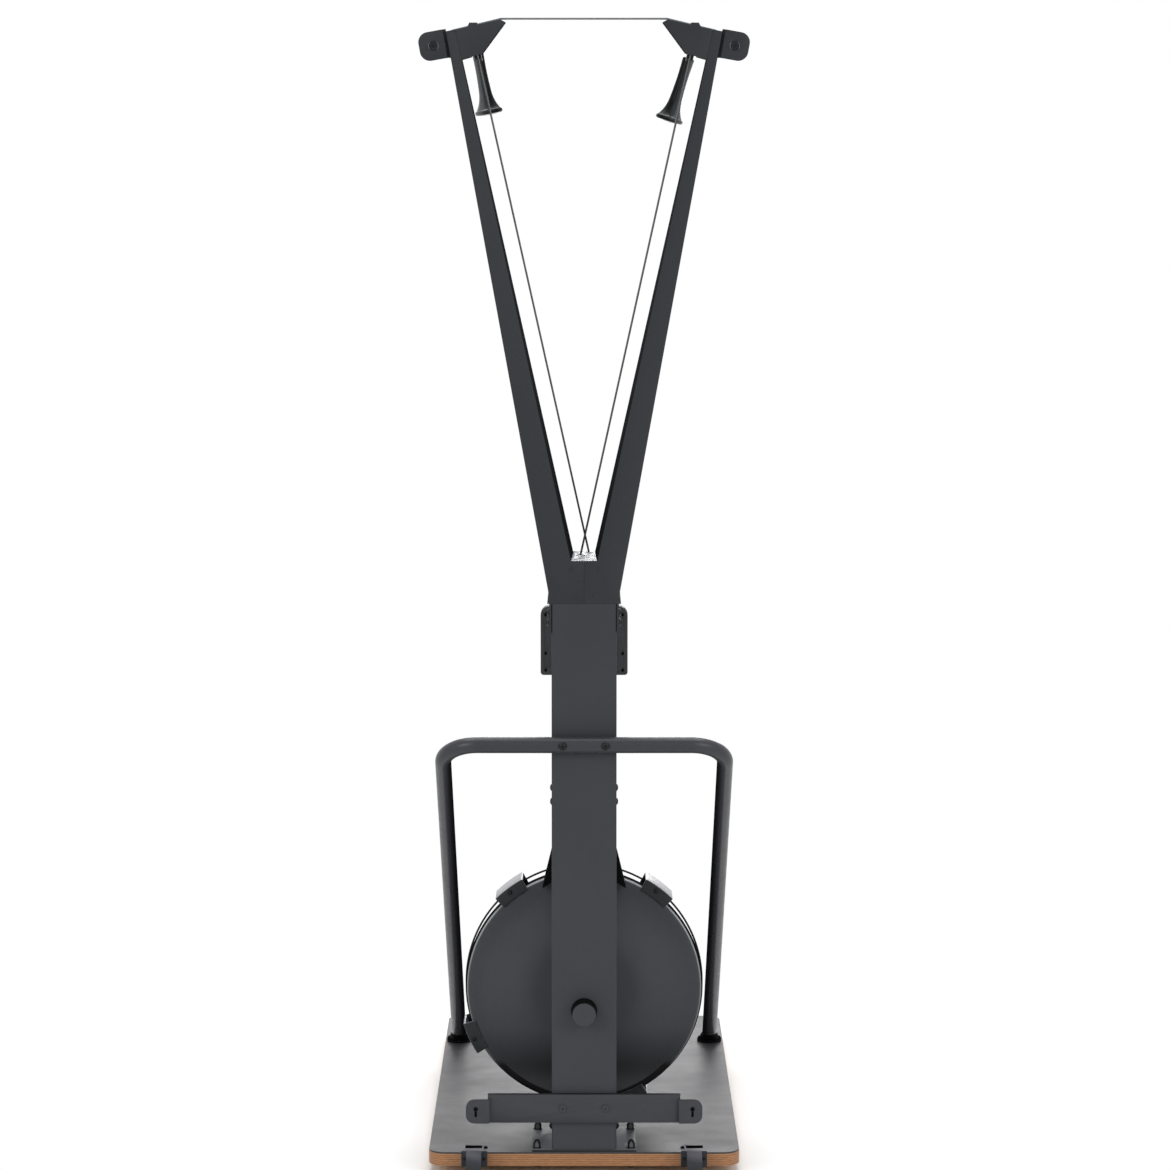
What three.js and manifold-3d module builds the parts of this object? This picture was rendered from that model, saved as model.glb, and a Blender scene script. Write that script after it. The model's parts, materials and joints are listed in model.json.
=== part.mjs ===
// Ski trainer machine: a Y-shaped stand on a wooden platform, with a fan that two hand cords turn.
// Millimetres, +Z up, +X to the right and +Y forward, seen from the wall side of the machine.

import * as THREE from 'three';
import { mergeVertices } from 'three/addons/utils/BufferGeometryUtils.js';
import Module from 'manifold-3d';

const wasm = await Module();
wasm.setup();

// Fits and cuts shared by all pieces
const clearance = 0.3;
const overrun = 4;

// Platform
const deckWidth = 600;
const deckLength = 1270;
const deckCorner = 35;
const boardThickness = 24;
const matThickness = 3;
const footHeight = 18;
const footRadius = 28;
const footTopRadius = 24;
const footSideInset = 60;
const footRearInset = 130;
const footFrontInset = 90;

// Base plate and its four bolt bosses
const basePlateWidth = 200;
const basePlateLength = 190;
const basePlateThickness = 4;
const basePlateSetback = 2;
const socketWall = 5;
const socketHeight = 50;

// Column
const columnWidth = 124;
const columnDepth = 190;
const columnWall = 3;
const columnHeight = 1057;
const columnSetback = 4;

// Fork and arms
const forkHeight = 76;
const forkWall = 4;
const cheekDrop = 55;
const waistHeight = 18;
const waistMargin = 5.2;
const skirtMargin = 8.2;
const armHeight = 1079;
const armWall = 3;
const armTopWidth = 18;
const armTopDepth = 62;
const armSpread = 241;
const throatHalf = 25.3;
const throatTaper = 4;

// Guide plate in the crotch of the Y
const guideThickness = 6;
const guideEyeRadius = 7;
const leftCordX = 9.5;
const rightCordX = -7;
const leftCordY = 161;
const rightCordY = 111;

// Heads at the arm tips
const headDrop = 52;
const headReach = 93.5;
const headRise = 22.5;
const headPlate = 3;
const headToe = 50;
const headToeRise = 11;
const headTipFace = 5;
const headTipReturn = 9;
const headShoulder = 3.6;
const webThickness = 3;
const webGap = 2;
const lugRadius = 12;
const keeperOuter = 22;
const keeperInner = 41;
const keeperRise = 4;

// Head sheaves
const sheaveRadius = 36;
const sheaveGroove = 29;
const sheaveHalf = 9;
const grooveHalf = 2.5;
const rimHalf = 7;
const sheaveInset = 35;
const sheaveDrop = 20;
const sheaveForward = 79;
const sheavePin = 4;
const sheaveTilt = 12.4;

// Cords
const cordRadius = 2;
const ferruleRadius = 4;
const ferruleLength = 8;
const cordBend = 5;
const crossCordForward = 31;

// Handles
const handleLength = 130;
const gripRadius = 11.5;
const waistRadius = 10.5;
const bellRadius = 27;
const bellLip = 3;
const collarRadius = 6;
const collarLength = 4;
const handleForward = 49.5;
const handleDrop = 5;
const handleLag = 18;
const leftHandleTilt = 10.8;
const rightHandleTilt = 17.8;

// Wall tabs beside the heads
const tabWidth = 54;
const tabHeight = 54;
const tabPlate = 3;
const tabCorner = 19;
const tabGroove = 5;
const tabStep = 10;
const tabFlange = 45;
const tabTop = 5;
const tabProud = 4;
const tabHole = 4.5;

// Stay bar and its foot flanges
const stayTube = 15.5;
const stayWall = 2.5;
const stayHeight = 793.5;
const stayInset = 30;
const stayBend = 66;
const stayReach = 1025;
const stayFootRadius = 29;
const stayFootThickness = 5;

// Lower wall bar
const barHalf = 185;
const barWidth = 55;
const barRise = 60;
const barPlate = 3;
const barDepth = 12;
const earReach = 42;
const earHeight = 47;
const earProud = 8;
const earCorner = 16;
const keyholeWide = 4.5;
const keyholeNarrow = 2.3;
const keyholeLength = 15;
const keyholeRise = 4.5;
const keyholeShare = 0.55;

// Fan: shaft, bearings, covers, guard and wheel
const shaftHeight = 276;
const shaftRadius = 10;
const bearingRadius = 20;
const bearingLength = 13;
const capRadius = 25;
const capFaceRadius = 23;
const capLength = 42;
const capEdge = 2;
const fanRadius = 231;
const fanSegments = 40;
const coverWall = 3;
const coverFlat = 95;
const coverShelf = 212;
const coverDish = 33;
const coverEdge = 6;
const coverRim = 17;
const hubBoss = 28;
const frontDepth = 16;
const frontRadius = 212;
const earPlate = 5;
const earShare = 0.45;
const guardProud = 3;
const guardWidth = 42;
const guardWire = 2;
const slotInner = 78;
const slotOuter = 128;
const slotCount = 8;
const slotShare = 0.5;
const wheelRadius = 210;
const wheelInner = 105;
const wheelWidth = 48;
const wheelGap = 8;
const wheelDisc = 3;
const wheelHub = 24;
const wheelHoop = 24;
const shaftFrontProud = 6;
const shaftRearProud = 7;
const bladeCount = 20;
const bladeThickness = 2.5;
const clipLength = 66;
const clipRise = 18;
const clipFace = 25;
const clipPlate = 4;
const clipLip = 3;
const clipAngles = [53, 127, 204.5, 293];

// Damper ring on the front cover
const damperBoss = 60;
const damperLip = 65;
const damperOuter = 138;
const damperThickness = 3;
const damperLever = 34;
const damperLeverWidth = 18;
const damperGrip = 14;

// Neck between the column and the fan covers
const neckTopHalf = 64;
const neckLowHalf = 82;
const neckTop = 279;
const neckLow = 204;
const neckNotch = 14;
const neckShelf = 30;

// Cord drums inside the column
const drumRadius = 40;
const drumCore = 30;
const drumWidth = 34;
const drumFlange = 3;

// Cord block inside the column
const blockHeight = 60;
const blockDepth = 120;
const blockSlot = 16;

// Through-bolts and short bolts
const boltRadius = 4;
const boltHead = 8;
const boltHeadHeight = 5.5;
const boltForward = 81;
const forkBoltDrops = [25, 44];
const blockBoltHeights = [697, 670];
const baseBoltHeight = 33;
const stayBoltSpread = 41;

// Console
const consoleWidth = 170;
const consoleHeight = 135;
const consoleThickness = 30;
const consoleCorner = 18;
const consoleFootCorner = 6;
const consoleDrop = 96;
const hingeForward = 18;
const hingeRadius = 4;
const hingeBarrel = 8;
const lugHalf = 20;
const earThickness = 5;
const bracketPlate = 4;
const bracketHeight = 60;
const screenInset = 12;
const screenThickness = 3;
const screenRise = 22;
const buttonRadius = 7;
const buttonDepth = 6;
const buttonTravel = 2;
const screwHeights = [52.5, -23.5, -56.5];
const screwSpread = 75;
const screwRadius = 2.6;
const screwDepth = 4;

// Transport wheels and their brackets
const casterInset = 88.5;
const casterRadius = 24;
const casterWidth = 16;
const casterPin = 4;
const casterFloorGap = 3;
const casterFace = 50;
const casterPlate = 4;
const casterFlange = 49;
const casterFlangeWidth = 36;
const casterFlangeThickness = 3;
const cheekThickness = 3;
const cheekBoss = 8;
const casterPinHead = 1.5;
const wheelChamfer = 2;
const fenderGap = 3;
const fenderPlate = 3;
const fenderWidth = 29;
const fenderMiddle = 110;
const fenderHalf = 80;

// Finishes
const paint = { color: 0x46494d, roughness: 0.55, metalness: 0.3 };
const forkPaint = { color: 0x3d4044, roughness: 0.55, metalness: 0.3 };
const blackPlastic = { color: 0x1b1c1e, roughness: 0.45, metalness: 0 };
const gripGloss = { color: 0x26282b, roughness: 0.25, metalness: 0 };
const plywood = { color: 0x9a6743, roughness: 0.6, metalness: 0 };
const matRubber = { color: 0x4b4b4e, roughness: 0.5, metalness: 0 };
const rubber = { color: 0x18181a, roughness: 0.8, metalness: 0 };
const steel = { color: 0x9a9da1, roughness: 0.3, metalness: 1 };
const darkSteel = { color: 0x2b2c2f, roughness: 0.4, metalness: 0.8 };
const paleGuide = { color: 0xcdced0, roughness: 0.4, metalness: 0 };
const cordBraid = { color: 0x55575a, roughness: 0.8, metalness: 0 };
const glass = { color: 0x0c0d10, roughness: 0.08, metalness: 0 };

// Places that several pieces share
const staySpread = deckWidth / 2 - stayInset;
const casterSpread = deckWidth / 2 - casterInset;
const boardBottom = footHeight;
const boardTop = boardBottom + boardThickness;
const deckTop = boardTop + clearance + matThickness;
const plateTop = deckTop + clearance + basePlateThickness;
const columnBottom = plateTop + clearance;
const columnTop = columnBottom + columnHeight;
const columnFront = columnSetback + columnDepth;
const guideBottom = columnTop + clearance + forkHeight;
const guideTop = guideBottom + guideThickness;
const armTop = columnTop + armHeight;
const shaftZ = deckTop + shaftHeight;
const boltY = columnSetback + boltForward;
const coverBack = columnFront + clearance;
const coverWide = coverBack + coverDish + coverEdge;
const rearRimEnd = coverWide + coverRim;
const frontRimStart = rearRimEnd + guardWidth;
const frontFace = frontRimStart + frontDepth;
const leftDrumY = columnSetback + leftCordY;
const rightDrumY = columnSetback + rightCordY;
const cordDropX = drumCore + clearance + cordRadius;
const shaftStart = columnSetback - clearance - bearingLength - shaftRearProud;
const clipOuter = fanRadius + clipRise;

const machine = new THREE.Group();

// Geometry helpers

/** Merges shared corners, drops slivers and turns the faces outward. */
function tidy(geometry) {
  const bare = geometry.clone();
  bare.deleteAttribute('normal');
  bare.deleteAttribute('uv');
  const merged = mergeVertices(bare);
  const place = merged.attributes.position;
  const source = merged.index.array;
  const kept = [];
  let volume = 0;
  const [a, b, c] = [new THREE.Vector3(), new THREE.Vector3(), new THREE.Vector3()];
  for (let i = 0; i < source.length; i += 3) {
    const [p, q, r] = [source[i], source[i + 1], source[i + 2]];
    if (p === q || q === r || r === p) continue;
    kept.push(p, q, r);
    a.fromBufferAttribute(place, p);
    b.fromBufferAttribute(place, q);
    c.fromBufferAttribute(place, r);
    volume += a.dot(b.cross(c));
  }
  if (volume < 0) kept.reverse();
  merged.setIndex(kept);
  return merged;
}

function toSolid(geometry) {
  const closed = tidy(geometry);
  return new wasm.Manifold(new wasm.Mesh({
    numProp: 3,
    vertProperties: new Float32Array(closed.attributes.position.array),
    triVerts: new Uint32Array(closed.index.array),
  }));
}

function fromSolid(solid) {
  const mesh = solid.getMesh();
  const geometry = new THREE.BufferGeometry();
  geometry.setAttribute('position', new THREE.BufferAttribute(mesh.vertProperties, 3));
  geometry.setIndex(Array.from(mesh.triVerts));
  return geometry;
}

function join(...geometries) {
  return fromSolid(geometries.map(toSolid).reduce((whole, next) => whole.add(next)));
}

function cut(geometry, ...tools) {
  return fromSolid(tools.map(toSolid).reduce((whole, next) => whole.subtract(next), toSolid(geometry)));
}

function common(geometry, other) {
  return fromSolid(toSolid(geometry).intersect(toSolid(other)));
}

/** A piece of the machine: one named mesh with its own material. */
function piece(name, geometry, finish) {
  const material = new THREE.MeshStandardMaterial({ ...finish, flatShading: true });
  const mesh = new THREE.Mesh(tidy(geometry), material);
  mesh.name = name;
  machine.add(mesh);
  return mesh;
}

function block(x0, x1, y0, y1, z0, z1) {
  const box = new THREE.BoxGeometry(x1 - x0, y1 - y0, z1 - z0);
  return box.translate((x0 + x1) / 2, (y0 + y1) / 2, (z0 + z1) / 2);
}

function outline(points) {
  return new THREE.Shape(points.map(([x, y]) => new THREE.Vector2(x, y)));
}

/** A rectangle about zero with rounded corners, whose lower pair can have a radius of their own. */
function roundedOutline(width, height, radius, lowRadius = radius) {
  const [w, h] = [width / 2, height / 2];
  const shape = new THREE.Shape();
  shape.moveTo(-w + lowRadius, -h);
  shape.lineTo(w - lowRadius, -h);
  shape.absarc(w - lowRadius, -h + lowRadius, lowRadius, -Math.PI / 2, 0);
  shape.absarc(w - radius, h - radius, radius, 0, Math.PI / 2);
  shape.absarc(-w + radius, h - radius, radius, Math.PI / 2, Math.PI);
  shape.absarc(-w + lowRadius, -h + lowRadius, lowRadius, Math.PI, Math.PI * 3 / 2);
  return shape;
}

/** A flat shape drawn in X and Z, given thickness from y0 to y1. */
function plateXZ(shape, y0, y1, curveSegments = 4) {
  const solid = new THREE.ExtrudeGeometry(shape, { depth: y1 - y0, bevelEnabled: false, curveSegments });
  return solid.rotateX(Math.PI / 2).translate(0, y1, 0);
}

/** A flat shape drawn in Y and Z, given thickness from x0 to x1. */
function plateYZ(shape, x0, x1, curveSegments = 4) {
  const solid = new THREE.ExtrudeGeometry(shape, { depth: x1 - x0, bevelEnabled: false, curveSegments });
  return solid.rotateX(Math.PI / 2).rotateZ(Math.PI / 2).translate(x0, 0, 0);
}

/** A flat shape drawn in X and Y, given thickness from z0 to z1. */
function plateXY(shape, z0, z1, curveSegments = 4) {
  const solid = new THREE.ExtrudeGeometry(shape, { depth: z1 - z0, bevelEnabled: false, curveSegments });
  return solid.translate(0, 0, z0);
}

function rodAlongX(radius, x0, x1, y, z, sides = 16) {
  const rod = new THREE.CylinderGeometry(radius, radius, x1 - x0, sides);
  return rod.rotateZ(Math.PI / 2).translate((x0 + x1) / 2, y, z);
}

function rodAlongY(radius, y0, y1, x, z, sides = 16) {
  const rod = new THREE.CylinderGeometry(radius, radius, y1 - y0, sides);
  return rod.translate(x, (y0 + y1) / 2, z);
}

function rodAlongZ(radius, z0, z1, x, y, sides = 16) {
  const rod = new THREE.CylinderGeometry(radius, radius, z1 - z0, sides);
  return rod.rotateX(Math.PI / 2).translate(x, y, (z0 + z1) / 2);
}

/** A turned shape about the Y axis; each point is a radius and a place along Y. */
function turned(points, segments) {
  return new THREE.LatheGeometry(points.map(([r, y]) => new THREE.Vector2(r, y)), segments);
}

/** A solid between a lower and an upper four-cornered outline, each listed round the same way. */
function loft(lower, upper) {
  const geometry = new THREE.BufferGeometry();
  const corners = [...lower, ...upper].flat();
  geometry.setAttribute('position', new THREE.BufferAttribute(new Float32Array(corners), 3));
  const faces = [0, 2, 1, 0, 3, 2, 4, 5, 6, 4, 6, 7];
  for (let i = 0; i < 4; i += 1) {
    const next = (i + 1) % 4;
    faces.push(i, next, next + 4, i, next + 4, i + 4);
  }
  geometry.setIndex(faces);
  return geometry;
}

/** The same shape on the other side of the machine. */
function mirrored(geometry) {
  return tidy(geometry.clone().scale(-1, 1, 1));
}

/** A path that passes through its points exactly, so that each point carries one ring of a tube. */
class Route extends THREE.Curve {
  constructor(points) {
    super();
    this.points = points;
  }

  getPoint(t, target = new THREE.Vector3()) {
    const last = this.points.length - 1;
    const place = t * last;
    const index = Math.min(Math.floor(place), last - 1);
    return target.lerpVectors(this.points[index], this.points[index + 1], place - index);
  }

  getPointAt(u, target) {
    return this.getPoint(u, target);
  }

  getTangentAt(u, target) {
    return this.getTangent(u, target);
  }
}

function tube(points, radius, sides) {
  const section = new THREE.Shape(new THREE.Path().absarc(0, 0, radius, 0, Math.PI * 2).getPoints(sides));
  const options = { steps: points.length - 1, extrudePath: new Route(points), curveSegments: sides };
  return new THREE.ExtrudeGeometry(section, options);
}

/** Rounds the inner corners of a route with arcs of one radius. */
function rounded(corners, radius, pieces) {
  const route = [corners[0]];
  for (let i = 1; i < corners.length - 1; i += 1) {
    const into = corners[i].clone().sub(corners[i - 1]).normalize();
    const away = corners[i + 1].clone().sub(corners[i]).normalize();
    const turn = into.angleTo(away);
    const side = away.clone().addScaledVector(into, -away.dot(into)).normalize();
    const start = corners[i].clone().addScaledVector(into, -radius * Math.tan(turn / 2));
    for (let k = 0; k <= pieces; k += 1) {
      const angle = turn * k / pieces;
      route.push(start.clone()
        .addScaledVector(into, radius * Math.sin(angle))
        .addScaledVector(side, radius * (1 - Math.cos(angle))));
    }
  }
  route.push(corners[corners.length - 1]);
  return route;
}

/** A bolt right through along X, with a domed head at each end. */
function throughBolt(halfSpan, z) {
  const profile = [
    [0, -halfSpan - boltHeadHeight],
    [boltHead * Math.SQRT1_2, -halfSpan - boltHeadHeight * Math.SQRT1_2],
    [boltHead, -halfSpan - clearance],
    [boltRadius, -halfSpan - clearance],
    [boltRadius, halfSpan + clearance],
    [boltHead, halfSpan + clearance],
    [boltHead * Math.SQRT1_2, halfSpan + boltHeadHeight * Math.SQRT1_2],
    [0, halfSpan + boltHeadHeight],
  ];
  return turned(profile, 12).rotateZ(Math.PI / 2).translate(0, boltY, z);
}

function radians(degrees) {
  return degrees * Math.PI / 180;
}

// Platform

function addPlatform() {
  const board = roundedOutline(deckWidth, deckLength, deckCorner);
  const middle = deckLength / 2;
  piece('deck_board', plateXY(board, boardBottom, boardTop, 6).translate(0, middle, 0), plywood);
  const mat = plateXY(board, boardTop + clearance, deckTop, 6).translate(0, middle, 0);
  piece('deck_mat', mat, matRubber);

  const footX = deckWidth / 2 - footSideInset;
  const rows = { rear: footRearInset, front: deckLength - footFrontInset };
  for (const [end, y] of Object.entries(rows)) {
    for (const [hand, side] of [['left', -1], ['right', 1]]) {
      const foot = new THREE.CylinderGeometry(footTopRadius, footRadius, footHeight - clearance, 20);
      foot.rotateX(Math.PI / 2).translate(side * footX, y, (footHeight - clearance) / 2);
      piece(`foot_${end}_${hand}`, foot, rubber);
    }
  }
}

function addBasePlate() {
  const rear = basePlateSetback;
  const half = basePlateWidth / 2;
  const end = rear + basePlateLength + columnSetback;
  const plate = block(-half, half, rear, end, deckTop + clearance, plateTop);
  const inner = columnWidth / 2 - columnWall - clearance;
  const [y0, y1] = [columnSetback + columnWall + clearance, columnFront - columnWall - clearance];
  const top = columnBottom + socketHeight;
  const socket = cut(
    block(-inner, inner, y0, y1, plateTop - overrun / 2, top),
    block(-inner + socketWall, inner - socketWall, y0 + socketWall, y1 - socketWall, plateTop, top + overrun),
    rodAlongX(boltRadius + clearance, -columnWidth, columnWidth, boltY, deckTop + baseBoltHeight),
  );
  piece('base_plate', join(plate, socket), paint);
}

// Column

function addColumn() {
  const half = columnWidth / 2;
  const shell = block(-half, half, columnSetback, columnFront, columnBottom, columnTop);
  const hollow = block(
    -half + columnWall, half - columnWall,
    columnSetback + columnWall, columnFront - columnWall,
    columnBottom - overrun, columnTop + overrun,
  );
  const crossHeights = [
    ...forkBoltDrops.map((drop) => columnTop - drop),
    ...blockBoltHeights.map((height) => deckTop + height),
    deckTop + baseBoltHeight,
  ];
  const boltHoles = crossHeights.map(
    (z) => rodAlongX(boltRadius + clearance, -columnWidth, columnWidth, boltY, z),
  );
  const rearWall = [columnSetback - overrun, columnSetback + columnWall + overrun];
  const stayHoles = [-1, 1].map(
    (side) => rodAlongY(boltRadius + clearance, ...rearWall, side * stayBoltSpread, deckTop + stayHeight),
  );
  const shaftHole = rodAlongY(
    shaftRadius + 2 * clearance, columnSetback - overrun, columnFront + overrun, 0, shaftZ, 20,
  );
  piece('column', cut(shell, hollow, shaftHole, ...boltHoles, ...stayHoles), paint);
}

// Arms: places on the arm faces at a height, on the right-hand side

const slopeSpan = armTop - guideTop;

function innerAt(z) {
  return throatHalf + (armSpread - throatHalf) * (z - guideTop) / slopeSpan;
}

function farInnerAt(z) {
  return innerAt(z) - throatTaper * (armTop - z) / slopeSpan;
}

const waistZ = columnTop + waistHeight;
const waistHalf = columnWidth / 2 + waistMargin;
const armOuterTop = armSpread + armTopWidth;

function outerAt(z) {
  return waistHalf + (armOuterTop - waistHalf) * (z - waistZ) / (armTop - waistZ);
}

function depthAt(z) {
  return columnDepth + (armTopDepth - columnDepth) * Math.max(z - guideTop, 0) / slopeSpan;
}

// The cross cord is anchored under the cap of each arm
const anchorZ = armTop - ferruleLength;
const anchorX = (innerAt(anchorZ) + outerAt(anchorZ)) / 2;

/** The four corners of an arm's section at a height, drawn in by a wall thickness. */
function armSection(z, wall) {
  const [rear, front] = [columnSetback + wall, columnSetback + depthAt(z) - wall];
  return [
    [innerAt(z) + wall, rear, z],
    [outerAt(z) - wall, rear, z],
    [outerAt(z) - wall, front, z],
    [farInnerAt(z) + wall, front, z],
  ];
}

function addArms() {
  const forkBottom = columnTop + clearance;
  const half = columnWidth / 2;
  const cheekInner = half + clearance;
  const seam = clearance / 2;
  const forkBody = plateXZ(outline([
    [seam, forkBottom],
    [half + skirtMargin, forkBottom],
    [waistHalf, waistZ],
    [outerAt(guideBottom), guideBottom],
    [seam, guideBottom],
  ]), columnSetback, columnFront);
  const forkHollow = plateXZ(outline([
    [-overrun, forkBottom - overrun],
    [waistHalf - forkWall, forkBottom - overrun],
    [waistHalf - forkWall, waistZ],
    [outerAt(guideTop) - forkWall, guideTop],
    [-overrun, guideTop],
  ]), columnSetback + forkWall, columnFront - forkWall);
  const armBody = loft(armSection(guideBottom - clearance, 0), armSection(armTop, 0));
  const armHollow = loft(armSection(guideBottom - overrun, armWall), armSection(armTop - armWall, armWall));
  const cheek = block(
    cheekInner, cheekInner + forkWall, columnSetback, columnFront,
    columnTop - cheekDrop, forkBottom + overrun,
  );
  const boltHoles = forkBoltDrops.map(
    (drop) => rodAlongX(boltRadius + clearance, 0, columnWidth, boltY, columnTop - drop),
  );
  const rimEnds = [columnSetback + forkWall / 2, columnFront - forkWall / 2];
  const rims = [[columnSetback, rimEnds[0]], [rimEnds[1], columnFront]].map(
    ([y0, y1]) => block(seam, innerAt(guideTop) + clearance, y0, y1, guideBottom - overrun, guideTop),
  );
  const cordHole = rodAlongZ(
    cordRadius + 2 * clearance, armTop - armWall - overrun, armTop + overrun,
    anchorX, columnSetback + crossCordForward, 10,
  );
  const arm = cut(join(forkBody, armBody, cheek, ...rims), forkHollow, armHollow, cordHole, ...boltHoles);
  piece('arm_right', arm, forkPaint);
  piece('arm_left', mirrored(arm), forkPaint);
}

function addGuidePlate() {
  const rear = columnSetback + forkWall / 2 + clearance;
  const front = columnFront - forkWall / 2 - clearance;
  const lower = guideBottom + clearance;
  const corners = (z) => [
    [-innerAt(z) + clearance * 2, rear, z],
    [innerAt(z) - clearance * 2, rear, z],
    [farInnerAt(z) - clearance * 2, front, z],
    [-farInnerAt(z) + clearance * 2, front, z],
  ];
  const plate = loft(corners(lower), corners(guideTop));
  const eyes = [[leftCordX, leftDrumY], [rightCordX, rightDrumY]].map(
    ([x, y]) => rodAlongZ(guideEyeRadius, lower - overrun, guideTop + overrun, x, y),
  );
  piece('guide_plate', cut(plate, ...eyes), paleGuide);
}

// Heads: each is drawn on the right-hand side; the sheave frame leans with the cords

const sheaveX = armSpread - sheaveInset;
const sheaveY = columnSetback + sheaveForward;
const sheaveZ = armTop - sheaveDrop;
const tilt = radians(sheaveTilt);
const pinEnd = sheaveHalf + webGap + webThickness + webGap;
const wrapRadius = sheaveGroove + 2 * clearance + cordRadius;
const wrapSteps = 16;

/** Moves a shape from the sheave's own frame (axle along X, centre at zero) to its place in the head. */
function atSheave(geometry) {
  return geometry.rotateY(tilt).translate(sheaveX, sheaveY, sheaveZ);
}

function headOutline() {
  const low = armTop - headDrop;
  const tipX = armSpread - headReach;
  const tipZ = armTop + headRise;
  const shoulder = armTop + headShoulder;
  return {
    armLow: [innerAt(low) - clearance, low],
    toe: [armSpread - headToe, low + headToeRise],
    tipLow: [tipX, tipZ - headTipFace],
    tipHigh: [tipX + headTipReturn, tipZ],
    armHigh: [innerAt(shoulder) - clearance, shoulder],
  };
}

function addHeads() {
  const edge = headOutline();
  const plain = [edge.armLow, edge.toe, edge.tipLow, edge.tipHigh];
  const [rear, front] = [columnSetback, columnSetback + armTopDepth];
  const shape = outline([...plain, edge.armHigh]);
  const body = plateXZ(shape, rear, front);
  const run = [edge.tipLow[0] - edge.toe[0], edge.tipLow[1] - edge.toe[1]];
  const length = Math.hypot(...run);
  const along = run.map((value) => value / length);
  const inset = [along[1] * headPlate, -along[0] * headPlate];
  const reach = headDrop;
  const hollow = plateXZ(outline([
    [edge.armLow[0] - headPlate, edge.armLow[1] - overrun],
    [edge.toe[0] + inset[0] - along[0] * reach, edge.toe[1] + inset[1] - along[1] * reach],
    [edge.tipLow[0] + inset[0] + along[0] * reach, edge.tipLow[1] + inset[1] + along[1] * reach],
    [edge.armHigh[0] - headPlate, edge.armHigh[1] + reach],
  ]), rear + headPlate, front - headPlate);
  const topRun = edge.armHigh[0] - edge.tipHigh[0];
  const topFall = edge.armHigh[1] - edge.tipHigh[1];
  const topAt = (x) => edge.tipHigh[1] + topFall * (x - edge.tipHigh[0]) / topRun;
  const [near, far] = [armSpread - keeperInner, armSpread - keeperOuter];
  const keeperTop = topAt(near) + keeperRise;
  const keeper = plateXZ(outline([
    [near, topAt(near) - overrun],
    [near, keeperTop],
    [far - overrun, keeperTop],
    [far, topAt(far)],
    [far, topAt(far) - overrun],
  ]), rear, rear + headPlate);
  const webNear = sheaveHalf + webGap;
  const webs = [-1, 1].map((side) => {
    const [x0, x1] = [side * webNear, side * (webNear + webThickness)].sort((p, q) => p - q);
    const wall = atSheave(block(x0, x1, rear - sheaveY, front - sheaveY, -headDrop * 2, headDrop * 2));
    const lug = atSheave(join(
      rodAlongX(lugRadius, x0, x1, 0, 0, 20),
      block(x0, x1, front - sheaveY - headPlate, 0, -lugRadius, lugRadius),
    ));
    return join(common(wall, body), lug);
  });
  const slot = atSheave(block(
    -webNear, webNear, -sheaveRadius - webGap, sheaveRadius, -headDrop * 2, headDrop * 2,
  ));
  const bore = atSheave(rodAlongX(sheavePin + clearance, -pinEnd, pinEnd, 0, 0));
  const head = cut(join(cut(body, hollow), keeper, ...webs), slot, bore);
  piece('head_right', head, forkPaint);
  piece('head_left', mirrored(head), forkPaint);

  const profile = [
    [0, -pinEnd],
    [sheavePin, -pinEnd],
    [sheavePin, -sheaveHalf],
    [sheaveRadius, -sheaveHalf],
    [sheaveRadius, -rimHalf],
    [sheaveGroove, -grooveHalf],
    [sheaveGroove, grooveHalf],
    [sheaveRadius, rimHalf],
    [sheaveRadius, sheaveHalf],
    [sheavePin, sheaveHalf],
    [sheavePin, pinEnd],
    [0, pinEnd],
  ];
  const sheave = atSheave(turned(profile, 28).rotateZ(Math.PI / 2));
  piece('head_sheave_right', sheave, darkSteel);
  piece('head_sheave_left', mirrored(sheave), darkSteel);
}

/** A point given in the sheave's own frame, on the left (-1) or right (1). */
function sheavePoint(side, across, forward, up) {
  const point = new THREE.Vector3(across, forward, up).applyAxisAngle(new THREE.Vector3(0, 1, 0), tilt);
  return new THREE.Vector3(side * (sheaveX + point.x), sheaveY + point.y, sheaveZ + point.z);
}

/** The angle at which a handle's cord leaves the sheave, for a handle that starts a drop below the axle. */
function leaveAngle(drop) {
  return Math.acos(wrapRadius / Math.hypot(handleForward, drop)) - Math.atan2(drop, handleForward);
}

function addDriveCords() {
  const cords = [
    ['left', -1, leftCordX, leftDrumY, handleDrop],
    ['right', 1, rightCordX, rightDrumY, handleDrop + handleLag],
  ];
  for (const [hand, side, eyeX, eyeY, drop] of cords) {
    const lean = Math.atan2(eyeY - sheaveY + wrapRadius, sheaveZ - guideTop);
    const leave = leaveAngle(drop);
    const points = [];
    for (let k = 0; k <= wrapSteps; k += 1) {
      const angle = leave + (Math.PI + lean - leave) * k / wrapSteps;
      points.push(sheavePoint(side, 0, wrapRadius * Math.cos(angle), wrapRadius * Math.sin(angle)));
    }
    points.push(new THREE.Vector3(eyeX, eyeY, guideTop));
    points.push(new THREE.Vector3(cordDropX, eyeY, shaftZ));
    piece(`drive_cord_${hand}`, tube(points, cordRadius, 8), cordBraid);
  }
}

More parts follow.
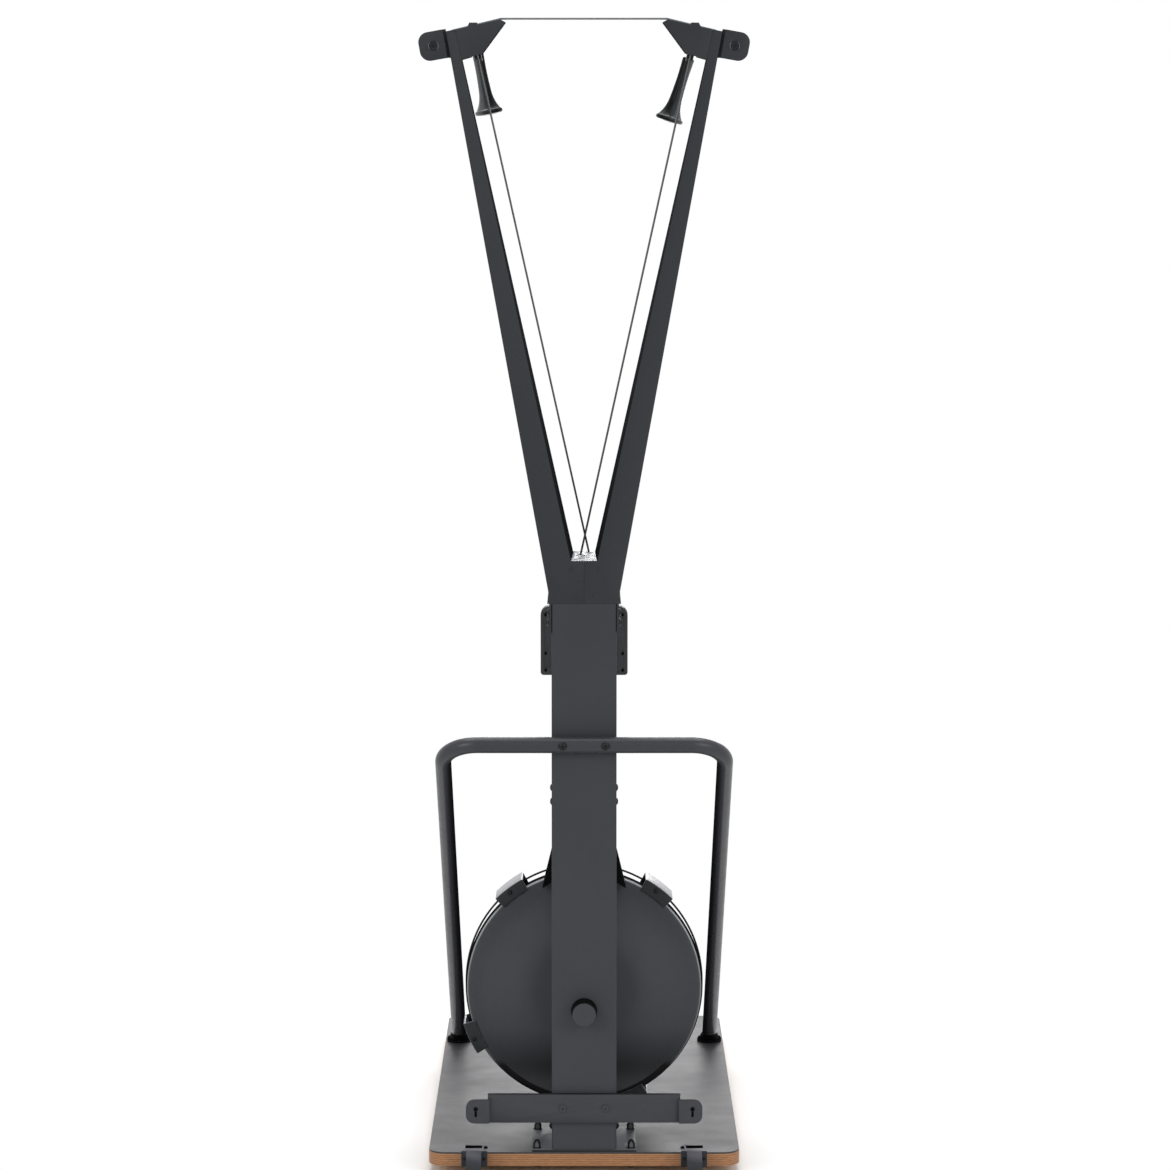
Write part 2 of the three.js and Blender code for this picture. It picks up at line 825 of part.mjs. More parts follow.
function addCrossCord() {
  const edge = headOutline();
  const y = columnSetback + crossCordForward;
  const lift = cordRadius + clearance;
  const low = new THREE.Vector3(anchorX, y, anchorZ);
  const fall = (edge.tipHigh[1] - edge.armHigh[1]) / (edge.armHigh[0] - edge.tipHigh[0]);
  const bend = new THREE.Vector3(anchorX, y, edge.armHigh[1] + lift - fall * (anchorX - edge.armHigh[0]));
  const lip = new THREE.Vector3(edge.tipHigh[0], y, edge.tipHigh[1] + lift);
  const across = [lip, bend, low].map((point) => point.clone().setX(-point.x));
  const corners = [low, bend, lip, ...across];
  const cord = tube(rounded(corners, cordBend, 3), cordRadius, 6);
  const top = armTop - armWall - clearance;
  const ferrules = [-1, 1].map(
    (side) => rodAlongZ(ferruleRadius, top - ferruleLength, top, side * anchorX, y, 12),
  );
  piece('cross_cord', join(cord, ...ferrules), cordBraid);
}

// Handles hang in front of the sheaves, the right one lower than the left

function handleProfile() {
  const end = collarLength + handleLength;
  const bellShares = [[0.55, 0], [0.72, 0.12], [0.86, 0.42], [0.94, 0.78]];
  const bell = bellShares.map(([place, swell]) => [
    waistRadius + (bellRadius - waistRadius) * swell, -collarLength - handleLength * place,
  ]);
  return [
    [0, 0],
    [collarRadius, 0],
    [collarRadius, -collarLength],
    [gripRadius, -collarLength - cordRadius],
    ...bell,
    [bellRadius, -end + bellLip],
    [bellRadius - bellLip / 2, -end],
    [0, -end],
  ];
}

function addHandles() {
  const handles = [
    ['left', -1, leftHandleTilt, handleDrop],
    ['right', 1, rightHandleTilt, handleDrop + handleLag],
  ];
  for (const [hand, side, lean, drop] of handles) {
    const leave = leaveAngle(drop);
    const hook = sheavePoint(side, 0, wrapRadius * Math.cos(leave), wrapRadius * Math.sin(leave));
    const top = sheavePoint(side, 0, handleForward, -drop);
    const run = top.clone().sub(hook).normalize();
    const grip = turned(handleProfile(), 20).rotateX(Math.PI / 2).rotateY(side * radians(lean));
    piece(`handle_${hand}`, grip.translate(top.x, top.y, top.z), gripGloss);
    const from = hook.clone().addScaledVector(run, clearance * 2);
    const to = top.clone().addScaledVector(run, -cordRadius - clearance);
    piece(`handle_cord_${hand}`, tube([from, to], cordRadius, 8), cordBraid);
  }
}

// Wall tabs on the arms' outer sides

function addWallTabs() {
  const lean = Math.atan2(armOuterTop - waistHalf, armTop - waistZ);
  const rear = columnSetback - tabProud;
  const section = outline([
    [tabGroove, rear], [tabWidth, rear], [tabWidth, rear + tabPlate], [tabGroove + tabPlate, rear + tabPlate],
    [tabGroove + tabPlate, rear + tabStep + tabPlate], [tabPlate, rear + tabStep + tabPlate],
    [tabPlate, rear + tabFlange], [0, rear + tabFlange], [0, rear + tabStep], [tabGroove, rear + tabStep],
  ]);
  const bent = plateXY(section, -tabHeight, 0);
  const face = roundedOutline(tabWidth * 2, tabHeight, tabCorner);
  const rounding = plateXZ(face, rear - overrun, rear + tabFlange + overrun, 5);
  rounding.translate(0, 0, -tabHeight / 2);
  const hole = rodAlongY(tabHole, rear - overrun, rear + tabStep - overrun / 2, tabWidth / 2, -tabHeight / 2);
  const upright = cut(common(bent, rounding), hole);
  const top = armTop + tabTop;
  const tab = upright.rotateY(lean).translate(outerAt(top) + 2 * clearance, 0, top);
  piece('wall_tab_right', tab, forkPaint);
  piece('wall_tab_left', mirrored(tab), forkPaint);
}

// Stay bar

function addStayBar() {
  const z = deckTop + stayHeight;
  const y = columnSetback - clearance - stayTube;
  const footTop = deckTop + clearance + stayFootThickness;
  const footY = y + stayReach * (z - footTop) / stayHeight;
  const over = stayTube * 2;
  const drop = (stayHeight + over) / stayHeight;
  const corner = (side) => new THREE.Vector3(side * staySpread, y, z);
  const end = (side) => new THREE.Vector3(side * staySpread, y + stayReach * drop, z - stayHeight * drop);
  const route = rounded([end(-1), corner(-1), corner(1), end(1)], stayBend, 6);
  const outer = tube(route, stayTube, 14);
  const bore = tube(route, stayTube - stayWall, 8);
  const below = block(-deckWidth, deckWidth, 0, deckLength * 2, -deckLength, footTop + clearance);
  const holes = [-1, 1].map(
    (side) => rodAlongY(boltRadius + clearance, y - over, y + over, side * stayBoltSpread, z),
  );
  piece('stay_bar', cut(outer, bore, below, ...holes), paint);
  for (const [hand, side] of [['left', -1], ['right', 1]]) {
    const flange = rodAlongZ(
      stayFootRadius, deckTop + clearance, footTop, side * staySpread, footY, 24,
    );
    piece(`stay_foot_${hand}`, flange, blackPlastic);
  }
  for (const [hand, side] of [['left', -1], ['right', 1]]) {
    const face = y - stayTube - clearance;
    const tip = columnSetback + columnWall + boltHead;
    const bolt = turned([
      [0, face - boltHeadHeight],
      [boltHead * Math.SQRT1_2, face - boltHeadHeight * Math.SQRT1_2],
      [boltHead, face], [boltRadius, face], [boltRadius, tip], [0, tip],
    ], 12).translate(side * stayBoltSpread, 0, z);
    piece(`stay_bolt_${hand}`, bolt, darkSteel);
  }
}

// Lower wall bar: a shallow channel with a keyhole ear at each end

function addWallBar() {
  const z = deckTop + barRise;
  const front = columnSetback - clearance;
  const rear = front - barDepth;
  const channel = cut(
    block(-barHalf, barHalf, rear, front, z, z + barWidth),
    block(
      -barHalf + barPlate, barHalf - barPlate, rear + barPlate, front + overrun,
      z + barPlate, z + barWidth - barPlate,
    ),
    ...[-1, 1].map((side) => rodAlongY(
      boltRadius + clearance, rear - overrun, front + overrun, side * stayBoltSpread, z + barWidth / 2,
    )),
  );
  const earFace = rear - earProud;
  const middle = z + earHeight / 2;
  const face = roundedOutline(earReach * 2, earHeight, earCorner);
  const whole = plateXZ(face, earFace, earFace + barPlate).translate(barHalf, 0, middle);
  const inner = block(
    -barHalf, barHalf - barPlate, earFace - overrun, earFace + overrun * 2, z - earHeight, z + earHeight * 2,
  );
  const fold = block(barHalf - barPlate, barHalf, earFace, rear + barPlate, z, z + earHeight);
  const holeX = barHalf + earReach * keyholeShare;
  const [near, far] = [earFace - overrun, earFace + overrun * 2];
  const keyhole = join(
    rodAlongY(keyholeWide, near, far, holeX, middle + keyholeRise),
    block(
      holeX - keyholeNarrow, holeX + keyholeNarrow, near, far, middle + keyholeRise - keyholeLength, middle,
    ),
  );
  const ear = cut(join(cut(whole, inner), fold), keyhole);
  piece('lower_wall_bar', join(channel, ear, mirrored(ear)), paint);
}

// The rear cover: a shallow dish, a flat shelf round it, a rounded edge and a rim
const rimY = coverBack + coverDish;
const edgeStart = fanRadius - coverEdge;
const dishSteps = 6;
const coverDishOutline = Array.from({ length: dishSteps + 1 }, (_, k) => {
  const share = k / dishSteps;
  const swell = (1 - Math.cos(Math.PI * share)) / 2;
  return [coverFlat + (coverShelf - coverFlat) * share, coverBack + coverDish * swell];
});
const coverOutline = [
  ...coverDishOutline,
  [edgeStart, rimY],
  [edgeStart + coverEdge * Math.SQRT1_2, rimY + coverEdge * (1 - Math.SQRT1_2)],
  [fanRadius, coverWide],
  [fanRadius, rearRimEnd],
];

function addFanCovers() {
  const bore = bearingRadius + clearance;
  const inner = [
    [fanRadius - coverWall, rearRimEnd],
    [fanRadius - coverWall, coverWide],
    [edgeStart, rimY + coverWall],
    ...coverDishOutline.map(([r, y]) => [r, y + coverWall]).reverse(),
    [hubBoss, coverBack + coverWall],
    [hubBoss, coverBack + bearingLength + clearance],
    [bore, coverBack + bearingLength + clearance],
    [bore, coverBack],
  ];
  const rear = turned([[bore, coverBack], ...coverOutline, ...inner], fanSegments).translate(0, 0, shaftZ);
  piece('fan_rear_cover', rear, paint);

  const back = frontFace - coverWall;
  const front = turned([
    [0, back],
    [frontRadius - coverEdge, back],
    [frontRadius - coverWall, frontFace - coverEdge],
    [frontRadius - coverWall, frontRimStart],
    [frontRadius, frontRimStart],
    [frontRadius, frontFace - coverEdge],
    [frontRadius - coverEdge * (1 - Math.SQRT1_2), frontFace - coverEdge * (1 - Math.SQRT1_2)],
    [frontRadius - coverEdge, frontFace],
    [damperBoss - clearance, frontFace],
    [damperBoss - clearance, frontFace + damperThickness + 2 * clearance],
    [damperLip, frontFace + damperThickness + 2 * clearance],
    [damperLip, frontFace + 2 * damperThickness],
    [0, frontFace + 2 * damperThickness],
  ], fanSegments).translate(0, 0, shaftZ);
  const ears = clipAngles.map((degrees) => {
    const half = clipLength * earShare / clipOuter;
    const shape = sector(frontRadius - coverEdge, fanRadius, radians(degrees), half);
    return plateXZ(shape, frontFace - earPlate, frontFace, 6).translate(0, 0, shaftZ);
  });
  const slots = airSlots(back - overrun, frontFace + overrun / 2);
  piece('fan_front_cover', cut(join(front, ...ears), ...slots), blackPlastic);

  const y = frontFace + clearance;
  const ring = plateXZ(ringShape(damperBoss, damperOuter), y, y + damperThickness, 32);
  const lever = block(
    -damperLeverWidth / 2, damperLeverWidth / 2, y, y + damperThickness,
    damperOuter - overrun, damperOuter + damperLever,
  );
  const grip = block(
    -damperLeverWidth / 2, damperLeverWidth / 2, y, y + damperGrip,
    damperOuter + damperLever - damperThickness, damperOuter + damperLever,
  );
  const plate = join(ring, lever, grip).translate(0, 0, shaftZ);
  piece('damper_ring', cut(plate, ...airSlots(y - overrun, y + damperThickness + overrun)), darkSteel);
}

function ringShape(inner, outer) {
  const shape = new THREE.Shape().absarc(0, 0, outer, 0, Math.PI * 2);
  shape.holes.push(new THREE.Path().absarc(0, 0, inner, 0, Math.PI * 2, true));
  return shape;
}

/** A stretch of a ring between two radii, centred on an angle counted from +X towards +Z. */
function sector(inner, outer, middle, halfAngle) {
  const shape = new THREE.Shape();
  shape.absarc(0, 0, outer, middle - halfAngle, middle + halfAngle, false);
  shape.absarc(0, 0, inner, middle + halfAngle, middle - halfAngle, true);
  shape.closePath();
  return shape;
}

function airSlots(y0, y1) {
  const pitch = Math.PI * 2 / slotCount;
  return Array.from({ length: slotCount }, (_, i) => {
    const shape = sector(slotInner, slotOuter, pitch * (i + slotShare), pitch * slotShare / 2);
    return plateXZ(shape, y0, y1, 4).translate(0, 0, shaftZ);
  });
}

function addFanGuard() {
  const frontHoop = frontFace - earPlate - clearance - guardWire;
  const rimMiddle = fanRadius - coverWall / 2;
  const hoopRadius = fanRadius + guardProud;
  const hoops = [[rimMiddle, rearRimEnd + clearance + guardWire], [hoopRadius, frontHoop]].map(([radius, y]) => {
    const hoop = new THREE.TorusGeometry(radius, guardWire, 6, fanSegments);
    return hoop.rotateX(Math.PI / 2).translate(0, y, 0);
  });
  const tieRadius = (rimMiddle + hoopRadius) / 2;
  const ties = clipAngles.map((degrees) => {
    const angle = radians(degrees);
    const [x, z] = [tieRadius * Math.cos(angle), tieRadius * Math.sin(angle)];
    return rodAlongY(guardWire, rearRimEnd + clearance, frontHoop, x, z, 8);
  });
  piece('fan_guard', join(...hoops, ...ties).translate(0, 0, shaftZ), darkSteel);

  const back = rimY - clearance - clipLip;
  const front = frontFace + clearance + clipLip;
  clipAngles.forEach((degrees, i) => {
    const middle = radians(degrees);
    const half = clipLength / 2 / clipOuter;
    const bandShape = sector(clipOuter - clipPlate, clipOuter, middle, half);
    const lipShape = sector(clipOuter - clipFace, clipOuter, middle, half);
    const clip = join(
      plateXZ(bandShape, back, front, 6),
      plateXZ(lipShape, back, back + clipLip, 6),
      plateXZ(lipShape, front - clipLip, front, 6),
    );
    piece(`guard_clip_${i + 1}`, clip.translate(0, 0, shaftZ), blackPlastic);
  });
}

function addFanWheel() {
  const y0 = coverWide + wheelGap;
  const y1 = y0 + wheelWidth;
  const bore = shaftRadius + clearance;
  const disc = turned([
    [bore, y0], [wheelRadius, y0], [wheelRadius, y0 + wheelDisc],
    [wheelHub, y0 + wheelDisc], [wheelHub, y1], [bore, y1], [bore, y0],
  ], 36);
  const hoop = turned([
    [wheelRadius - wheelHoop, y1 - wheelDisc], [wheelRadius, y1 - wheelDisc], [wheelRadius, y1],
    [wheelRadius - wheelHoop, y1], [wheelRadius - wheelHoop, y1 - wheelDisc],
  ], 36);
  const blade = block(
    wheelInner, wheelRadius - wheelDisc, y0 + wheelDisc / 2, y1 - wheelDisc / 2,
    -bladeThickness / 2, bladeThickness / 2,
  );
  const blades = Array.from(
    { length: bladeCount }, (_, i) => blade.clone().rotateY(Math.PI * 2 * i / bladeCount),
  );
  piece('fan_wheel', join(disc, hoop, ...blades).translate(0, 0, shaftZ), steel);

  const shaft = rodAlongY(shaftRadius, shaftStart, y1 + shaftFrontProud, 0, shaftZ, 20);
  piece('fan_shaft', shaft, steel);
}

function addShaftCarriers() {
  const base = columnSetback - clearance;
  const bore = bearingRadius + clearance;
  const fit = shaftRadius + clearance;
  const bearing = (y0) => turned([
    [fit, y0], [bearingRadius, y0], [bearingRadius, y0 + bearingLength], [fit, y0 + bearingLength], [fit, y0],
  ], 20).translate(0, 0, shaftZ);
  piece('bearing_rear', bearing(base - bearingLength), steel);
  piece('bearing_front', bearing(coverBack + clearance / 2), steel);
  const cap = turned([
    [0, base - capLength],
    [capFaceRadius - capEdge, base - capLength],
    [capFaceRadius, base - capLength + capEdge],
    [capRadius, base],
    [bore, base],
    [bore, base - bearingLength - clearance],
    [shaftRadius + 2 * clearance, base - bearingLength - clearance],
    [shaftRadius + 2 * clearance, shaftStart - clearance],
    [0, shaftStart - clearance],
  ], 24).translate(0, 0, shaftZ);
  piece('shaft_cap', cap, paint);
}

function addNeck() {
  const [top, low] = [shaftZ + neckTop, shaftZ + neckLow];
  const face = plateXZ(outline([
    [-neckTopHalf, top], [neckTopHalf, top], [neckLowHalf, low],
    [neckTopHalf - overrun, low + neckNotch], [-neckTopHalf + overrun, low + neckNotch], [-neckLowHalf, low],
  ]), coverBack, rearRimEnd);
  const rimTop = shaftZ + fanRadius + overrun;
  const side = plateYZ(outline([
    [coverBack, low], [coverWide, low], [coverWide, rimTop], [coverBack + neckShelf, top], [coverBack, top],
  ]), -deckWidth, deckWidth);
  const envelope = turned([
    [0, coverBack - clearance],
    ...coverOutline.map(([r, y]) => [r + clearance, y - clearance]),
    [fanRadius + clearance, rearRimEnd + overrun],
    [0, rearRimEnd + overrun],
  ], fanSegments).translate(0, 0, shaftZ);
  piece('fan_neck', cut(common(face, side), envelope), blackPlastic);
}

function addDrums() {
  for (const [hand, middle] of [['left', leftDrumY], ['right', rightDrumY]]) {
    const [y0, y1] = [middle - drumWidth / 2, middle + drumWidth / 2];
    const drum = turned([
      [shaftRadius + clearance, y0], [drumRadius, y0], [drumRadius, y0 + drumFlange],
      [drumCore, y0 + drumFlange], [drumCore, y1 - drumFlange], [drumRadius, y1 - drumFlange],
      [drumRadius, y1], [shaftRadius + clearance, y1], [shaftRadius + clearance, y0],
    ], 24).translate(0, 0, shaftZ);
    piece(`cord_drum_${hand}`, drum, blackPlastic);
  }
}

function addCordBlock() {
  const half = columnWidth / 2 - columnWall - clearance;
  const front = columnFront - columnWall - clearance;
  const heights = blockBoltHeights.map((height) => deckTop + height);
  const middle = (heights[0] + heights[1]) / 2;
  const [low, high] = [middle - blockHeight / 2, middle + blockHeight / 2];
  const body = block(-half, half, front - blockDepth, front, low, high);
  const share = (guideTop - middle) / (guideTop - shaftZ);
  const slots = [[leftCordX, leftDrumY], [rightCordX, rightDrumY]].map(([x, y]) => {
    const cordX = x + (cordDropX - x) * share;
    return block(
      cordX - blockSlot / 2, cordX + blockSlot / 2, y - blockSlot / 2, y + blockSlot / 2,
      middle - blockHeight, middle + blockHeight,
    );
  });
  const holes = heights.map((z) => rodAlongX(boltRadius + clearance, -columnWidth, columnWidth, boltY, z));
  piece('cord_block', cut(body, ...slots, ...holes), blackPlastic);
}

function addThroughBolts() {
  const half = columnWidth / 2;
  const cheekHalf = half + clearance + forkWall;
  const rows = [
    ['fork_bolt_upper', cheekHalf, columnTop - forkBoltDrops[0]],
    ['fork_bolt_lower', cheekHalf, columnTop - forkBoltDrops[1]],
    ['block_bolt_upper', half, deckTop + blockBoltHeights[0]],
    ['block_bolt_lower', half, deckTop + blockBoltHeights[1]],
    ['base_bolt', half, deckTop + baseBoltHeight],
  ];
  for (const [name, halfSpan, z] of rows) {
    piece(name, throughBolt(halfSpan, z), darkSteel);
  }
}

// Console on a tilting bracket at the column's front

function addConsole() {
  const z = columnTop - consoleDrop;
  const y = columnFront + hingeForward;
  const wall = columnFront + clearance;
  const earX = lugHalf + clearance;
  const back = y + hingeBarrel + clearance * 2;
  const ears = [-1, 1].map((side) => {
    const [x0, x1] = [side * earX, side * (earX + earThickness)].sort((a, b) => a - b);
    const strap = block(x0, x1, wall, y, z - hingeBarrel, z + hingeBarrel);
    return join(strap, rodAlongX(hingeBarrel, x0, x1, y, z));
  });
  const plate = block(
    -earX - earThickness, earX + earThickness, wall, wall + bracketPlate,
    z - bracketHeight / 2, z + bracketHeight / 2,
  );
  const bore = rodAlongX(hingeRadius + clearance, -columnWidth, columnWidth, y, z);
  piece('console_bracket', cut(join(plate, ...ears), bore), blackPlastic);

  const front = back + consoleThickness;
  const face = roundedOutline(consoleWidth, consoleHeight, consoleCorner, consoleFootCorner);
  const body = plateXZ(face, back, front, 5).translate(0, 0, z);
  const barrel = rodAlongX(hingeBarrel, -lugHalf, lugHalf, y, z);
  const web = block(-lugHalf, lugHalf, y, back + overrun, z - hingeBarrel / 2, z + hingeBarrel / 2);
  const pin = rodAlongX(hingeRadius, -earX - earThickness, earX + earThickness, y, z);
  const screenHalf = consoleWidth / 2 - screenInset;
  const screenLow = z - consoleHeight / 2 + screenInset + screenRise;
  const screenHigh = z + consoleHeight / 2 - screenInset;
  const floor = front - screenThickness;
  const recess = block(-screenHalf, screenHalf, floor, front + overrun, screenLow, screenHigh);
  const buttonZ = (z - consoleHeight / 2 + screenLow) / 2;
  const wellFloor = front - buttonDepth - buttonTravel - clearance;
  const well = rodAlongY(buttonRadius + clearance, wellFloor, front + overrun, 0, buttonZ);
  const screws = [-1, 1].flatMap((side) => screwHeights.map(
    (height) => rodAlongY(screwRadius, back - overrun, back + screwDepth, side * screwSpread, z + height, 8),
  ));
  piece('console_case', cut(join(body, barrel, web, pin), recess, well, ...screws), blackPlastic);
  const screen = block(
    -screenHalf + clearance, screenHalf - clearance, floor + clearance, front,
    screenLow + clearance, screenHigh - clearance,
  );
  piece('console_screen', screen, glass);
  const buttonFace = front + buttonTravel + clearance;
  piece('console_button', rodAlongY(buttonRadius, front - buttonDepth, buttonFace, 0, buttonZ), rubber);
}

// Transport wheels on the platform's rear edge, drawn about X = 0 and then moved to each side

function addCasters() {
  const face = -clearance;
  const rear = face - casterPlate;
  const wheelY = rear - casterRadius - fenderGap;
  const wheelZ = casterRadius + casterFloorGap;
  const flangeLow = deckTop + clearance;
  const flangeTop = flangeLow + casterFlangeThickness;
  const edge = block(-casterFace / 2, casterFace / 2, rear, face, boardBottom, flangeTop);
  const flange = block(
    -casterFlangeWidth / 2, casterFlangeWidth / 2, rear, casterFlange, flangeLow, flangeTop,
  );
  const fenderInner = casterRadius + fenderGap;
  const arc = sector(fenderInner, fenderInner + fenderPlate, radians(fenderMiddle), radians(fenderHalf));
  const fender = plateYZ(arc, -fenderWidth / 2, fenderWidth / 2, 10).translate(0, wheelY, wheelZ);
  const cheekInner = casterWidth / 2 + 2 * clearance;
  const cheekShape = outline([
    [face - casterPlate / 2, boardBottom + overrun],
    [face - casterPlate / 2, boardTop],
    [wheelY, wheelZ + fenderInner + fenderPlate / 2],
    [wheelY - cheekBoss, wheelZ],
    [wheelY, wheelZ - cheekBoss],
  ]);
  const cheeks = [-1, 1].map((side) => {
    const [x0, x1] = [side * cheekInner, side * (cheekInner + cheekThickness)].sort((a, b) => a - b);
    return plateYZ(cheekShape, x0, x1);
  });
  const pinHalf = cheekInner + cheekThickness + casterPinHead;
  const pin = rodAlongX(casterPin, -pinHalf, pinHalf, wheelY, wheelZ);
  const bracket = join(edge, flange, fender, pin, ...cheeks);
  const half = casterWidth / 2;
  const bore = casterPin + clearance;
  const wheel = turned([
    [bore, -half], [casterRadius - wheelChamfer, -half], [casterRadius, -half + wheelChamfer],
    [casterRadius, half - wheelChamfer], [casterRadius - wheelChamfer, half], [bore, half], [bore, -half],
  ], 28).rotateZ(Math.PI / 2).translate(0, wheelY, wheelZ);
  for (const [hand, side] of [['left', -1], ['right', 1]]) {
    piece(`wheel_bracket_${hand}`, bracket.clone().translate(side * casterSpread, 0, 0), forkPaint);
    piece(`transport_wheel_${hand}`, wheel.clone().translate(side * casterSpread, 0, 0), rubber);
  }
}

addPlatform();
addBasePlate();
addColumn();
addArms();
addGuidePlate();
addHeads();
addDriveCords();
addCrossCord();
addHandles();
addWallTabs();
addStayBar();
addWallBar();
addFanCovers();
addFanGuard();
addFanWheel();
addShaftCarriers();
addNeck();
addDrums();
addCordBlock();
addThroughBolts();
addConsole();
addCasters();

// The origin is under the middle of the machine, on the floor
const bounds = new THREE.Box3().setFromObject(machine);
const centre = bounds.getCenter(new THREE.Vector3());
machine.position.set(-centre.x, -centre.y, -bounds.min.z);
machine.updateMatrixWorld(true);

export default machine;
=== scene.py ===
"""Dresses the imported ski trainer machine: smooth shapes, small fittings, materials, light and camera."""

import json
import logging
import math
from abc import ABC, abstractmethod
from dataclasses import dataclass
from enum import Enum, IntEnum
from functools import cached_property
from typing import Any, ClassVar, Iterable, Sequence

import bmesh
import bpy
from mathutils import Matrix, Quaternion, Vector


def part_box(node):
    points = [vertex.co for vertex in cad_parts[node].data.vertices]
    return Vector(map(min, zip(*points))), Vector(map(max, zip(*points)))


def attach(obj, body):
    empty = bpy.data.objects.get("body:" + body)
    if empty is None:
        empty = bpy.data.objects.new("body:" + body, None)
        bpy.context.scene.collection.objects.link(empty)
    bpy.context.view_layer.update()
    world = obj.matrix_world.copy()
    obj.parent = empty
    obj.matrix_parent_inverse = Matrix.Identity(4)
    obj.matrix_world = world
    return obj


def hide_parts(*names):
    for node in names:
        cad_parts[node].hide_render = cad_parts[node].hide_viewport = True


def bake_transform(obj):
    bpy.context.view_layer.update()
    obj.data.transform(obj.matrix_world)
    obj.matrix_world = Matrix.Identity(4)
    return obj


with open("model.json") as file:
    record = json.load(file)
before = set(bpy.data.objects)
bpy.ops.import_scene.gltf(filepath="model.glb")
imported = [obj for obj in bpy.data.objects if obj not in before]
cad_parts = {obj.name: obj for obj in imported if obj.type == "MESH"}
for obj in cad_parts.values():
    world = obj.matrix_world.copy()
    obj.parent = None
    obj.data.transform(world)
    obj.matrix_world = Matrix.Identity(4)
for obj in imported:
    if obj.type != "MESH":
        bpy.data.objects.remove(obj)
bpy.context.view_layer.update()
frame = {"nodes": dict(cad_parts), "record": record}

LOG = logging.getLogger("scene")
BODY_OF = {node: body for body, nodes in frame["record"]["behaviour"]["bodies"].items() for node in nodes}

Colour = Sequence[float]
Point = Sequence[float]
Profile = Sequence[Sequence[float]]
Spot = tuple[Point, Point]
Shape = bmesh.types.BMesh
Socket = bpy.types.NodeSocket

UP = (0, 0, 1)
DOWN = (0, 0, -1)
TO_WALL = (0, -1, 0)
TO_USER = (0, 1, 0)
HANDS = {"left": -1, "right": 1}

# Places that several sub-assemblies share, in metres; Y counts from the machine's middle towards the user
REAR = -0.6043591
DECK_TOP = 0.0453
COLUMN_REAR = REAR + 0.004
COLUMN_FRONT = REAR + 0.194
SHAFT_Z = 0.3213
GUIDE_TOP = 1.1892
COVER_BACK = -0.41006
COVER_DEPTH = 0.033
COVER_RADIUS = 0.231
COVER_ROUNDING = 0.006
COVER_WALL = 0.003
CORD_RADIUS = 0.00195


class Axis(IntEnum):
    """The three axes, as their places in a vector."""

    X = 0
    Y = 1
    Z = 2


class Finish(Enum):
    """The finishes of the machine; each value is the record's material slot and a shade of it."""

    COLUMN = "column_paint"
    FORK = "fork_paint"
    STAY = "column_paint:stay"
    COVER = "column_paint:cover"
    BASE = "column_paint:base"
    WALL_BAR = "column_paint:bar"
    BRACKET = "fork_paint:bracket"
    PLASTIC = "black_plastic"
    CASE = "black_plastic:case"
    DEEP = "black_plastic:deep"
    CLIP = "black_plastic:clip"
    GRIP = "grip"
    PLYWOOD = "plywood"
    MAT = "mat"
    RUBBER = "rubber"
    PALE = "pale_guide"
    CORD = "cord"
    BOLT = "dark_steel"
    GUARD = "dark_steel:guard"
    NUT = "dark_steel:nut"
    RIM = "dark_steel:rim"
    STEEL = "steel"
    SCREEN = "screen"

    @property
    def slot(self) -> str:
        """The record's material slot of this finish."""
        return self.value.split(":")[0]


def srgb(red: float, green: float, blue: float) -> Colour:
    """A colour given as it shows on a screen, 0 to 255, as the linear colour that shaders take.

    Args:
        red: the red channel.
        green: the green channel.
        blue: the blue channel.

    Returns:
        The linear colour.
    """

    def linear(value: float) -> float:
        """One channel as a linear share."""
        share = value / 255
        return share / 12.92 if share <= 0.04045 else ((share + 0.055) / 1.055) ** 2.4

    return (linear(red), linear(green), linear(blue), 1.0)


def shade(colour: Colour, share: float) -> Colour:
    """A darker or lighter form of a linear colour."""
    return (*(min(value * share, 1.0) for value in colour[:3]), 1.0)


@dataclass(frozen=True)
class Grain:
    """A noise pattern: its scale, its layers of detail and how rough they are."""

    scale: float
    detail: float = 3
    rough: float = 0.5


DRIFT = Grain(7, 5)
SPECKS = Grain(900, 2)
SCUFFS = Grain(45, 6, 0.65)
PEEL = Grain(620, 2)
SMUTS = Grain(180, 4)
SPARKS = Grain(25, 4)


class Nodes:
    """A node tree under construction."""

    def __init__(self, tree: bpy.types.NodeTree) -> None:
        """Takes the tree that the nodes go into."""
        self.tree = tree

    def join(self, value: Any, socket: Socket) -> None:
        """Links an output to an input socket, or sets a plain value on it.

        Args:
            value: the output or the value.
            socket: the input socket.
        """
        if isinstance(value, bpy.types.NodeSocket):
            self.tree.links.new(value, socket)
        else:
            socket.default_value = value

    def add(self, kind: str, inputs: dict | None = None, **settings: Any) -> bpy.types.Node:
        """Adds a node.

        Args:
            kind: the node's type name.
            inputs: values or outputs for its input sockets, by socket name or number.
            settings: the node's own properties.

        Returns:
            The new node.
        """
        node = self.tree.nodes.new(kind)
        for key, value in settings.items():
            setattr(node, key, value)
        for key, value in (inputs or {}).items():
            self.join(value, node.inputs[key])
        return node

    def maths(self, operation: str, first: Any, second: Any = 0.0) -> Socket:
        """A plain sum, product or other operation of two values."""
        return self.add("ShaderNodeMath", {0: first, 1: second}, operation=operation).outputs[0]

    def vector(self, operation: str, first: Any, second: Any = (0, 0, 0)) -> bpy.types.Node:
        """The node of an operation on vectors."""
        return self.add("ShaderNodeVectorMath", {0: first, 1: second}, operation=operation)


